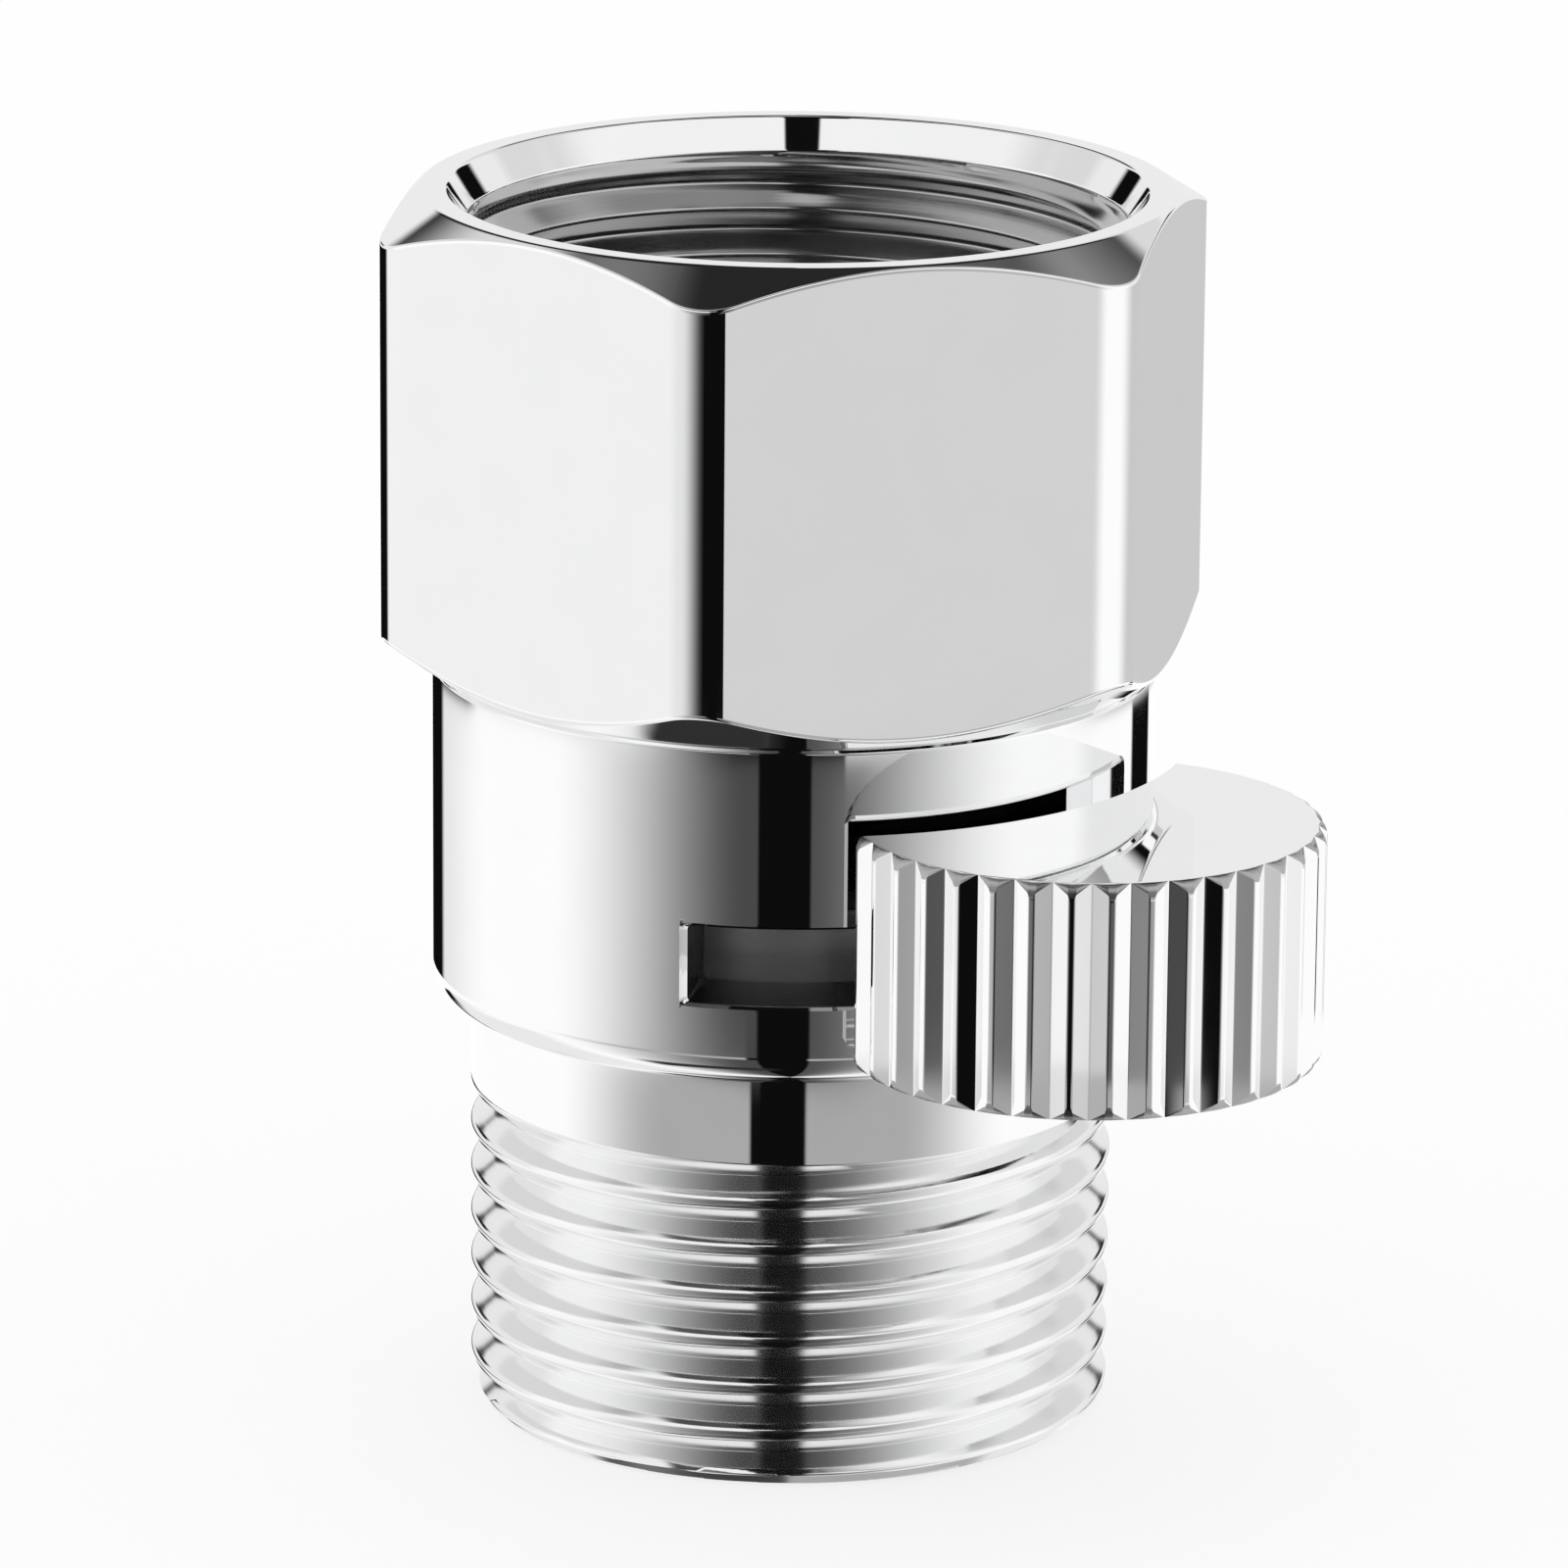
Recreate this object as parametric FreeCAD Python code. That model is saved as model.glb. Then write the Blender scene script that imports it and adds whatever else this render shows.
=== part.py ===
import FreeCAD, Part
import math
import os

# Shower shut-off valve with a thumb knob that slides round the barrel.
# Lengths are in millimetres and angles in degrees.
# The pipe axis is Z, the outlet end face is at zero and the inlet is up.
# An azimuth of zero looks out along -Y and grows towards +X.

# Outlet end with its outside pipe thread
THREAD_RADIUS = 10.4775
THREAD_CLEARANCE = 0.10
OUTLET_THREAD_LENGTH = 10.8
THREAD_PITCH = 1.55
THREAD_DEPTH = 0.78
THREAD_CREST_WIDTH = 0.24
RUN_OUT_SHARE = 0.5
OUTLET_END_STEP = 0.4775
OUTLET_END_CHAMFER = 0.5
OUTLET_BORE_RADIUS = 6.0
NECK_LENGTH = 2.9

# Round barrel
BARREL_STEP = 1.2225
BARREL_LENGTH = 11.2
BARREL_EDGE_ROUND = 1.0
EDGE_ROUND_STEPS = 3
BARREL_TOP_BEVEL = 0.22
LEAST_SHOULDER = 0.1
CHAMBER_WALL = 2.8
SLOT_RISE = 4.05

# Hexagonal inlet coupling
NUT_HEIGHT = 15.4
NUT_WALL = 1.6225
NUT_CORNER_ROUND = 1.4
NUT_AZIMUTH = -12.35
TOP_CHAMFER_STEP = 0.15
TOP_CHAMFER_ANGLE = 31.0
BOTTOM_CHAMFER_STEP = 0.35
BOTTOM_CHAMFER_ANGLE = 36.0
COUNTERSINK_STEP = 0.6925
COUNTERSINK_DEPTH = 0.95
INLET_THREAD_DEPTH = 8.6
PILOT_STEP = 0.9775
WATERWAY_RADIUS = 5.6
SPIGOT_STEP = 0.7

# Rubber washer on the inlet shoulder
WASHER_THICKNESS = 2.0
WASHER_CLEARANCE = 0.20
WASHER_SETBACK = 0.3
WASHER_COVER = 0.1

# Rotor that the knob turns
ROTOR_CLEARANCE = 0.08
ROTOR_HEIGHT = 6.3
GROOVE_LAND = 0.35
LUG_WIDTH = 1.8
LUG_LENGTH = 1.1
LUG_HEIGHT = 1.0
KEY_CLEARANCE = 0.10

# Sealing rings, round in section and squeezed flat against their walls
RING_SECTION = 1.04
RING_CLEARANCE = 0.03
RING_SIDE_CLEARANCE = 0.055
JOINT_RING_SECTION = 1.0

# Glide ring above the rotor
GLIDE_RING_THICKNESS = 0.42
GLIDE_RING_WIDTH = 2.8
GLIDE_RING_CLEARANCE = 0.06

# Ceramic discs with two opposite sector ports
FIXED_DISC_THICKNESS = 1.5
MOVING_DISC_THICKNESS = 1.3
DISC_CLEARANCE = 0.15
DISC_FILM = 0.02
PORT_INNER_RADIUS = 1.5
PORT_OUTER_RADIUS = 5.5
PORT_ANGLE = 80.0
KEY_WIDTH = 1.6
KEY_DEPTH = 0.8
SEAT_SEAL_THICKNESS = 0.8
SEAT_SEAL_WIDTH = 1.7

# Drive pin and its slot
PIN_RADIUS = 1.2
PIN_SEAT_CLEARANCE = 0.02
PIN_ROTOR_DEPTH = 2.2
PIN_KNOB_DEPTH = 3.6
PIN_END_CHAMFER = 0.2
SLOT_CLEARANCE = 0.10
SLOT_END_CLEARANCE = 0.05
SLOT_CORNER_ROUND = 0.3
CLOSED_AZIMUTH = -10.35
KNOB_SWEEP = 90.0

# Fluted thumb knob
KNOB_AZIMUTH = 41.2
KNOB_RADIUS = 7.6
KNOB_HEIGHT = 7.6
KNOB_RISE = 1.05
KNOB_STAND = 2.25
KNOB_GAP = 1.05
KNOB_EDGE_BREAK = 0.12
FLUTE_COUNT = 38
FLUTE_DEPTH = 0.3
FLUTE_CREST_WIDTH = 0.18
FLUTE_PHASE = -3.3
RIM_CHAMFER_HEIGHT = 0.5

# Radii that follow from the sizes above
SOCKET_RADIUS = THREAD_RADIUS + THREAD_CLEARANCE
OUTLET_END_RADIUS = THREAD_RADIUS - OUTLET_END_STEP
BARREL_RADIUS = THREAD_RADIUS + BARREL_STEP
LIP_ROUND = min(BARREL_EDGE_ROUND, BARREL_STEP - LEAST_SHOULDER)
NUT_HALF_WIDTH = SOCKET_RADIUS + NUT_WALL
TOP_CHAMFER_RADIUS = NUT_HALF_WIDTH - TOP_CHAMFER_STEP
BOTTOM_CHAMFER_RADIUS = NUT_HALF_WIDTH - BOTTOM_CHAMFER_STEP
COUNTERSINK_RADIUS = SOCKET_RADIUS + COUNTERSINK_STEP
PILOT_RADIUS = THREAD_RADIUS - PILOT_STEP
WASHER_RADIUS = PILOT_RADIUS - WASHER_CLEARANCE
WASHER_HOLE_RADIUS = WATERWAY_RADIUS + WASHER_SETBACK
CHAMBER_RADIUS = BARREL_RADIUS - CHAMBER_WALL
SPIGOT_RADIUS = CHAMBER_RADIUS + SPIGOT_STEP
ROTOR_RADIUS = CHAMBER_RADIUS - ROTOR_CLEARANCE
GROOVE_RADIUS = ROTOR_RADIUS - RING_SECTION - RING_CLEARANCE
DISC_RADIUS = CHAMBER_RADIUS - DISC_CLEARANCE
KEY_TIP_RADIUS = CHAMBER_RADIUS - KEY_DEPTH
NOTCH_RADIUS = BARREL_RADIUS + KNOB_GAP
KNOB_OFFSET = BARREL_RADIUS + KNOB_STAND
JOINT_GAP = JOINT_RING_SECTION + 2 * RING_CLEARANCE
UNDERCUT_RADIUS = SPIGOT_RADIUS - JOINT_RING_SECTION / 2
RECESS_RADIUS = UNDERCUT_RADIUS + JOINT_GAP

# Heights that follow from the sizes above
BARREL_BOTTOM = OUTLET_THREAD_LENGTH + NECK_LENGTH
BARREL_TOP = BARREL_BOTTOM + BARREL_LENGTH
NUT_TOP = BARREL_TOP + NUT_HEIGHT
THREAD_FLOOR = NUT_TOP - INLET_THREAD_DEPTH
INLET_FLOOR = THREAD_FLOOR - WASHER_THICKNESS - WASHER_COVER
SLOT_CENTRE = BARREL_BOTTOM + SLOT_RISE
ROTOR_BOTTOM = SLOT_CENTRE - ROTOR_HEIGHT / 2
ROTOR_TOP = SLOT_CENTRE + ROTOR_HEIGHT / 2
GROOVE_WIDTH = RING_SECTION + 2 * RING_SIDE_CLEARANCE
GROOVE_OFFSET = ROTOR_HEIGHT / 2 - GROOVE_LAND - GROOVE_WIDTH / 2
GLIDE_RING_BOTTOM = ROTOR_TOP + DISC_FILM
GLIDE_RING_TOP = GLIDE_RING_BOTTOM + GLIDE_RING_THICKNESS
SPIGOT_END = GLIDE_RING_TOP + GLIDE_RING_CLEARANCE
MOVING_DISC_BOTTOM = ROTOR_BOTTOM - MOVING_DISC_THICKNESS
FIXED_DISC_TOP = MOVING_DISC_BOTTOM - DISC_FILM
FIXED_DISC_BOTTOM = FIXED_DISC_TOP - FIXED_DISC_THICKNESS
CHAMBER_FLOOR = FIXED_DISC_BOTTOM - SEAT_SEAL_THICKNESS

# Length by which a cutting solid runs past the face that it cuts
OVERCUT = 1.0

UP = FreeCAD.Vector(0, 0, 1)
ORIGIN = FreeCAD.Vector(0, 0, 0)


def turned(points):
    """Solid turned about the pipe axis from a closed (radius, height) outline."""
    outline = [FreeCAD.Vector(radius, 0, height) for radius, height in points]
    outline.append(outline[0])
    face = Part.Face(Part.makePolygon(outline))
    return face.revolve(ORIGIN, UP, 360)


def tube(inner, outer, bottom, top):
    """Plain ring between two radii and two heights."""
    return turned([(inner, bottom), (outer, bottom), (outer, top), (inner, top)])


def drum(radius, bottom, top):
    """Plain cylinder on the pipe axis."""
    return Part.makeCylinder(radius, top - bottom, FreeCAD.Vector(0, 0, bottom))


def at_azimuth(shape, azimuth):
    """The shape turned about the pipe axis, away from -Y towards +X."""
    placed = shape.copy()
    placed.rotate(ORIGIN, UP, azimuth)
    return placed


def radial_box(width, inner, outer, bottom, top):
    """Block that points along -Y between two radii."""
    corner = FreeCAD.Vector(-width / 2, -outer, bottom)
    return Part.makeBox(width, outer - inner, top - bottom, corner)


def radial_rod(radius, inner, outer, height):
    """Round rod that points along -Y between two radii."""
    start = FreeCAD.Vector(0, -inner, height)
    return Part.makeCylinder(radius, outer - inner, start, FreeCAD.Vector(0, -1, 0))


def pair(shape):
    """The shape and its copy on the far side of the pipe axis."""
    return [shape, at_azimuth(shape, 180)]


def squeezed_ring(section, outer_radius, height):
    """Sealing ring whose section is squeezed flat on its inner and outer walls."""
    half = section / 2
    flat = half * math.tan(math.radians(30))
    middle = outer_radius - half
    corners = [(half, flat), (0, half), (-half, flat)]
    outline = corners + [(-across, -up) for across, up in corners]
    return turned([(middle + across, height + up) for across, up in outline])


def hexagonal_bar():
    """Hexagonal bar with rounded corners, over the height of the nut."""
    corner_radius = NUT_HALF_WIDTH / math.cos(math.radians(30))
    corners = []
    for index in range(7):
        angle = math.radians(60 * index)
        x = corner_radius * math.sin(angle)
        y = -corner_radius * math.cos(angle)
        corners.append(FreeCAD.Vector(x, y, BARREL_TOP))
    bar = Part.Face(Part.makePolygon(corners)).extrude(UP * NUT_HEIGHT)
    uprights = [edge for edge in bar.Edges if is_upright(edge)]
    return at_azimuth(bar.makeFillet(NUT_CORNER_ROUND, uprights), NUT_AZIMUTH)


def is_upright(edge):
    """True for a straight edge that runs along the pipe axis."""
    direction = edge.tangentAt(edge.FirstParameter)
    return abs(direction.z) > 0.99


def nut_turning():
    """Turned envelope that bevels the corners of the hexagon at both ends."""
    reach = 2 * NUT_HALF_WIDTH
    top_drop = (reach - TOP_CHAMFER_RADIUS) * math.tan(math.radians(TOP_CHAMFER_ANGLE))
    rise = (reach - BOTTOM_CHAMFER_RADIUS) * math.tan(math.radians(BOTTOM_CHAMFER_ANGLE))
    lower = turned([
        (0, BARREL_TOP),
        (BOTTOM_CHAMFER_RADIUS, BARREL_TOP),
        (reach, BARREL_TOP + rise),
        (reach, NUT_TOP + top_drop),
        (0, NUT_TOP + top_drop),
    ])
    upper = turned([
        (0, BARREL_TOP - rise),
        (reach, BARREL_TOP - rise),
        (reach, NUT_TOP - top_drop),
        (TOP_CHAMFER_RADIUS, NUT_TOP),
        (0, NUT_TOP),
    ])
    return lower.common(upper)


def make_inlet_coupling():
    """Hexagonal nut with the inlet socket, and the spigot that screws into the barrel."""
    nut = hexagonal_bar().common(nut_turning())
    undercut_bottom = BARREL_TOP - JOINT_GAP
    spigot = turned([
        (0, SPIGOT_END),
        (SPIGOT_RADIUS, SPIGOT_END),
        (SPIGOT_RADIUS, undercut_bottom),
        (UNDERCUT_RADIUS, undercut_bottom),
        (UNDERCUT_RADIUS, BARREL_TOP),
        (0, BARREL_TOP),
    ])
    passage = turned([
        (0, SPIGOT_END - OVERCUT),
        (WATERWAY_RADIUS, SPIGOT_END - OVERCUT),
        (WATERWAY_RADIUS, INLET_FLOOR),
        (PILOT_RADIUS, INLET_FLOOR),
        (PILOT_RADIUS, THREAD_FLOOR),
        (SOCKET_RADIUS, THREAD_FLOOR),
        (SOCKET_RADIUS, NUT_TOP - COUNTERSINK_DEPTH),
        (COUNTERSINK_RADIUS, NUT_TOP),
        (COUNTERSINK_RADIUS, NUT_TOP + OVERCUT),
        (0, NUT_TOP + OVERCUT),
    ])
    return nut.fuse(spigot).cut(passage).removeSplitter()


def make_inlet_washer():
    """Flat rubber washer that lies on the shoulder of the inlet socket."""
    top = INLET_FLOOR + WASHER_THICKNESS
    return tube(WASHER_HOLE_RADIUS, WASHER_RADIUS, INLET_FLOOR, top)


def barrel_lip():
    """Outline of the rounded lower edge of the barrel, in a few flat steps."""
    middle = BARREL_RADIUS - LIP_ROUND
    points = []
    for step in range(EDGE_ROUND_STEPS + 1):
        angle = math.radians(90 * step / EDGE_ROUND_STEPS)
        rise = LIP_ROUND * (1 - math.cos(angle))
        points.append((middle + LIP_ROUND * math.sin(angle), BARREL_BOTTOM + rise))
    return points


def barrel_turning():
    """Outlet end, neck and barrel as one turned bar."""
    outlet = [(0, 0), (OUTLET_END_RADIUS, 0), (THREAD_RADIUS, OUTLET_END_CHAMFER)]
    neck = [(THREAD_RADIUS, BARREL_BOTTOM)]
    rim = [
        (BARREL_RADIUS, BARREL_TOP - BARREL_TOP_BEVEL),
        (BARREL_RADIUS - BARREL_TOP_BEVEL, BARREL_TOP),
        (0, BARREL_TOP),
    ]
    return turned(outlet + neck + barrel_lip() + rim)


def thread_groove(height, share):
    """Cutter for one V groove of the outlet thread, at a share of its full depth."""
    root = THREAD_RADIUS - share * THREAD_DEPTH
    half_width = share * (THREAD_PITCH - THREAD_CREST_WIDTH) / 2
    reach = THREAD_RADIUS + OVERCUT
    half_mouth = half_width * (reach - root) / (THREAD_RADIUS - root)
    return turned([(root, height), (reach, height - half_mouth), (reach, height + half_mouth)])


def thread_grooves():
    """The grooves of the outlet thread as rings, with a shallow one where it runs out."""
    lowest = OUTLET_END_CHAMFER + (THREAD_CREST_WIDTH + THREAD_PITCH) / 2
    count = math.floor((OUTLET_THREAD_LENGTH - lowest) / THREAD_PITCH)
    full = [thread_groove(lowest + turn * THREAD_PITCH, 1) for turn in range(count)]
    return full + [thread_groove(lowest + count * THREAD_PITCH, RUN_OUT_SHARE)]


def barrel_bore():
    """Everything that is turned out of the barrel from both ends."""
    socket_radius = SPIGOT_RADIUS + THREAD_CLEARANCE
    shoulder = SPIGOT_END - THREAD_CLEARANCE
    recess_floor = BARREL_TOP - JOINT_GAP
    return turned([
        (0, -OVERCUT),
        (OUTLET_BORE_RADIUS, -OVERCUT),
        (OUTLET_BORE_RADIUS, CHAMBER_FLOOR),
        (CHAMBER_RADIUS, CHAMBER_FLOOR),
        (CHAMBER_RADIUS, shoulder),
        (socket_radius, shoulder),
        (socket_radius, recess_floor),
        (RECESS_RADIUS, recess_floor),
        (RECESS_RADIUS, BARREL_TOP + OVERCUT),
        (0, BARREL_TOP + OVERCUT),
    ])


def slot_cutter():
    """Quarter-turn slot whose ends stand square to the pin at its two stops."""
    inner = KEY_TIP_RADIUS
    outer = BARREL_RADIUS + OVERCUT
    half_height = PIN_RADIUS + SLOT_CLEARANCE
    bottom = SLOT_CENTRE - half_height
    top = SLOT_CENTRE + half_height
    end_width = 2 * (PIN_RADIUS + SLOT_END_CLEARANCE)
    sector = Part.makeCylinder(outer, top - bottom, FreeCAD.Vector(0, 0, bottom), UP, KNOB_SWEEP)
    arc = at_azimuth(sector.cut(drum(inner, bottom - OVERCUT, top + OVERCUT)), CLOSED_AZIMUTH - 90)
    end = radial_box(end_width, inner, outer, bottom, top)
    corners = [edge for edge in end.Edges if is_along_y(edge)]
    end = end.makeFillet(SLOT_CORNER_ROUND, corners)
    closed_end = at_azimuth(end, CLOSED_AZIMUTH)
    open_end = at_azimuth(end, CLOSED_AZIMUTH + KNOB_SWEEP)
    return arc.fuse([closed_end, open_end])


def is_along_y(edge):
    """True for a straight edge along the Y axis."""
    direction = edge.tangentAt(edge.FirstParameter)
    return abs(direction.y) > 0.99


def make_valve_barrel():
    """Barrel, neck and outlet in one piece, with the slot and two keys for the fixed disc."""
    barrel = barrel_turning().cut(thread_grooves()).cut(barrel_bore()).cut(slot_cutter())
    key_root = (CHAMBER_RADIUS + THREAD_RADIUS) / 2
    key = radial_box(KEY_WIDTH, KEY_TIP_RADIUS, key_root, CHAMBER_FLOOR, FIXED_DISC_TOP - DISC_CLEARANCE)
    return barrel.fuse(pair(key)).removeSplitter()


def ring_groove(height):
    """Cutter for one sealing ring groove, centred on a height."""
    bottom = height - GROOVE_WIDTH / 2
    return tube(GROOVE_RADIUS, ROTOR_RADIUS + OVERCUT, bottom, bottom + GROOVE_WIDTH)


def drive_lug():
    """Lug under the rotor that turns the moving disc."""
    inner = ROTOR_RADIUS - LUG_LENGTH
    bottom = ROTOR_BOTTOM - LUG_HEIGHT
    block = radial_box(LUG_WIDTH, inner, ROTOR_RADIUS + OVERCUT, bottom, ROTOR_BOTTOM)
    return block.common(drum(ROTOR_RADIUS, bottom, ROTOR_BOTTOM))


def make_rotor():
    """Hollow rotor with two ring grooves, two drive lugs and the seat of the pin."""
    body = tube(WATERWAY_RADIUS, ROTOR_RADIUS, ROTOR_BOTTOM, ROTOR_TOP)
    grooves = [ring_groove(SLOT_CENTRE - GROOVE_OFFSET), ring_groove(SLOT_CENTRE + GROOVE_OFFSET)]
    seat_radius = PIN_RADIUS + PIN_SEAT_CLEARANCE
    seat_floor = ROTOR_RADIUS - PIN_ROTOR_DEPTH - PIN_SEAT_CLEARANCE
    seat = radial_rod(seat_radius, seat_floor, ROTOR_RADIUS + OVERCUT, SLOT_CENTRE)
    lugs = pair(at_azimuth(drive_lug(), 90))
    rotor = body.cut(grooves).cut(seat).fuse(lugs).removeSplitter()
    return at_azimuth(rotor, KNOB_AZIMUTH)


def make_rotor_ring(side):
    """Sealing ring in the groove below (-1) or above (+1) the slot."""
    outer_radius = CHAMBER_RADIUS - RING_CLEARANCE
    return squeezed_ring(RING_SECTION, outer_radius, SLOT_CENTRE + side * GROOVE_OFFSET)


def make_joint_ring():
    """Sealing ring between the coupling and the top of the barrel."""
    outer_radius = RECESS_RADIUS - RING_CLEARANCE
    return squeezed_ring(JOINT_RING_SECTION, outer_radius, BARREL_TOP - JOINT_GAP / 2)


def make_glide_ring():
    """Low-friction ring between the rotor and the end of the spigot."""
    return tube(ROTOR_RADIUS - GLIDE_RING_WIDTH, ROTOR_RADIUS, GLIDE_RING_BOTTOM, GLIDE_RING_TOP)


def port_cutters(bottom, top):
    """Two opposite sector ports, centred across the -Y direction."""
    start = FreeCAD.Vector(0, 0, bottom)
    sector = Part.makeCylinder(PORT_OUTER_RADIUS, top - bottom, start, UP, PORT_ANGLE)
    port = sector.cut(drum(PORT_INNER_RADIUS, bottom - OVERCUT, top + OVERCUT))
    return pair(at_azimuth(port, -90 - PORT_ANGLE / 2))


def make_fixed_disc():
    """Lower ceramic disc, held against turning by the two keys of the barrel."""
    disc = drum(DISC_RADIUS, FIXED_DISC_BOTTOM, FIXED_DISC_TOP)
    ports = port_cutters(FIXED_DISC_BOTTOM - OVERCUT, FIXED_DISC_TOP + OVERCUT)
    inner = KEY_TIP_RADIUS - KEY_CLEARANCE
    width = KEY_WIDTH + 2 * KEY_CLEARANCE
    keyway = radial_box(width, inner, CHAMBER_RADIUS, FIXED_DISC_BOTTOM - OVERCUT, FIXED_DISC_TOP + OVERCUT)
    placed_ports = [at_azimuth(port, CLOSED_AZIMUTH + KNOB_SWEEP) for port in ports]
    return disc.cut(placed_ports + pair(keyway))


def make_moving_disc():
    """Upper ceramic disc, turned by the two lugs of the rotor."""
    disc = drum(DISC_RADIUS, MOVING_DISC_BOTTOM, ROTOR_BOTTOM)
    ports = port_cutters(MOVING_DISC_BOTTOM - OVERCUT, ROTOR_BOTTOM + OVERCUT)
    inner = ROTOR_RADIUS - LUG_LENGTH - KEY_CLEARANCE
    width = LUG_WIDTH + 2 * KEY_CLEARANCE
    notch = radial_box(width, inner, CHAMBER_RADIUS, MOVING_DISC_BOTTOM - OVERCUT, ROTOR_BOTTOM + OVERCUT)
    disc = disc.cut(ports + pair(at_azimuth(notch, 90)))
    return at_azimuth(disc, KNOB_AZIMUTH)


def make_seat_seal():
    """Flat rubber ring that presses the fixed disc against the moving one."""
    outer = KEY_TIP_RADIUS - KEY_CLEARANCE
    return tube(outer - SEAT_SEAL_WIDTH, outer, CHAMBER_FLOOR, FIXED_DISC_BOTTOM)


def make_drive_pin():
    """Pin from the rotor through the slot into the knob, bevelled at both ends."""
    inner = ROTOR_RADIUS - PIN_ROTOR_DEPTH
    outer = NOTCH_RADIUS + PIN_KNOB_DEPTH
    rod = radial_rod(PIN_RADIUS, inner, outer, SLOT_CENTRE)
    rims = [edge for edge in rod.Edges if isinstance(edge.Curve, Part.Circle)]
    return at_azimuth(rod.makeChamfer(PIN_END_CHAMFER, rims), KNOB_AZIMUTH)


def fluted_bar(bottom):
    """Bar with V flutes and narrow flat crests round its whole rim."""
    pitch = 360 / FLUTE_COUNT
    half_crest = math.degrees(FLUTE_CREST_WIDTH / 2 / KNOB_RADIUS)
    corners = []
    for index in range(FLUTE_COUNT):
        valley = FLUTE_PHASE + index * pitch
        corners.append((KNOB_RADIUS - FLUTE_DEPTH, valley))
        corners.append((KNOB_RADIUS, valley + pitch / 2 - half_crest))
        corners.append((KNOB_RADIUS, valley + pitch / 2 + half_crest))
    corners.append(corners[0])
    points = []
    for radius, angle in corners:
        x = radius * math.sin(math.radians(angle))
        y = -radius * math.cos(math.radians(angle))
        points.append(FreeCAD.Vector(x, y, bottom))
    return Part.Face(Part.makePolygon(points)).extrude(UP * KNOB_HEIGHT)


def rim_turning(bottom):
    """Turned envelope that bevels both rims down to the root of the flutes."""
    top = bottom + KNOB_HEIGHT
    root = KNOB_RADIUS - FLUTE_DEPTH
    return turned([
        (0, bottom),
        (root, bottom),
        (KNOB_RADIUS, bottom + RIM_CHAMFER_HEIGHT),
        (KNOB_RADIUS, top - RIM_CHAMFER_HEIGHT),
        (root, top),
        (0, top),
    ])


def barrel_notch(bottom):
    """Turned cutter for the hollow side that lies round the barrel, with broken edges."""
    top = bottom + KNOB_HEIGHT
    flare = NOTCH_RADIUS + KNOB_EDGE_BREAK + OVERCUT
    return turned([
        (0, bottom - OVERCUT),
        (flare, bottom - OVERCUT),
        (NOTCH_RADIUS, bottom + KNOB_EDGE_BREAK),
        (NOTCH_RADIUS, top - KNOB_EDGE_BREAK),
        (flare, top + OVERCUT),
        (0, top + OVERCUT),
    ])


def make_thumb_knob():
    """Fluted disc with a hollow side that follows the barrel, and the seat of the pin."""
    bottom = BARREL_BOTTOM + KNOB_RISE
    disc = fluted_bar(bottom).common(rim_turning(bottom))
    disc.translate(FreeCAD.Vector(0, -KNOB_OFFSET, 0))
    seat_radius = PIN_RADIUS + PIN_SEAT_CLEARANCE
    seat_end = NOTCH_RADIUS + PIN_KNOB_DEPTH + PIN_SEAT_CLEARANCE
    seat = radial_rod(seat_radius, BARREL_RADIUS, seat_end, SLOT_CENTRE)
    knob = disc.cut(barrel_notch(bottom)).cut(seat)
    return at_azimuth(knob, KNOB_AZIMUTH)


def export_part(name, shape):
    """Write one piece to its own file."""
    shape.exportStep("parts/" + name + ".step")


os.makedirs("parts", exist_ok=True)
export_part("inlet_coupling", make_inlet_coupling())
export_part("inlet_washer", make_inlet_washer())
export_part("valve_barrel", make_valve_barrel())
export_part("rotor", make_rotor())
export_part("lower_rotor_ring", make_rotor_ring(-1))
export_part("upper_rotor_ring", make_rotor_ring(1))
export_part("joint_ring", make_joint_ring())
export_part("glide_ring", make_glide_ring())
export_part("fixed_disc", make_fixed_disc())
export_part("moving_disc", make_moving_disc())
export_part("seat_seal", make_seat_seal())
export_part("drive_pin", make_drive_pin())
export_part("thumb_knob", make_thumb_knob())
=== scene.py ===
"""Dressed model of the shower shut-off valve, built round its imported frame.

Lengths of the valve are given in millimetres and turned into metres when a mesh is made.
An azimuth of zero looks out along -Y, towards the viewer, and grows towards +X.
"""

import logging
import math
from dataclasses import dataclass, field
from enum import Enum
from typing import Callable, Sequence

import bpy
import numpy as np
from mathutils import Matrix, Vector


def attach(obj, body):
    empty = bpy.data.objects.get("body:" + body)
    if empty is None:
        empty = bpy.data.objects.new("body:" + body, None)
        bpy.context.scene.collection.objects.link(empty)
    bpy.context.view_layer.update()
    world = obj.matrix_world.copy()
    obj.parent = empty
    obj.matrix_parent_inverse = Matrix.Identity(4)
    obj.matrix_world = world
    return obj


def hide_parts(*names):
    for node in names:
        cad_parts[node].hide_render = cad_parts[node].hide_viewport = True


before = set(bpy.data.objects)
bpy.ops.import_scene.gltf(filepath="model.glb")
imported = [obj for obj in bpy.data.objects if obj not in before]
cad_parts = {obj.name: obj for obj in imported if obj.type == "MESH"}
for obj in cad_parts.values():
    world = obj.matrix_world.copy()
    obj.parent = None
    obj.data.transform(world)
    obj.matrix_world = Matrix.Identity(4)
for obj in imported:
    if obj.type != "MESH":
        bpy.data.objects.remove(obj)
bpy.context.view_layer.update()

LOG = logging.getLogger("shut-off valve")
MM = 0.001

# Tolerances for merging points, for dropping thin faces and for cutting
MERGE = 0.0005 * MM
THIN = 0.0002 * MM
CUT = 0.00001 * MM

# Levels of the lit panels and of the dark flags, and plain white
WHITE = 1.02
BLACK = 0.004
PURE_WHITE = (1.0, 1.0, 1.0, 1.0)

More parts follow.
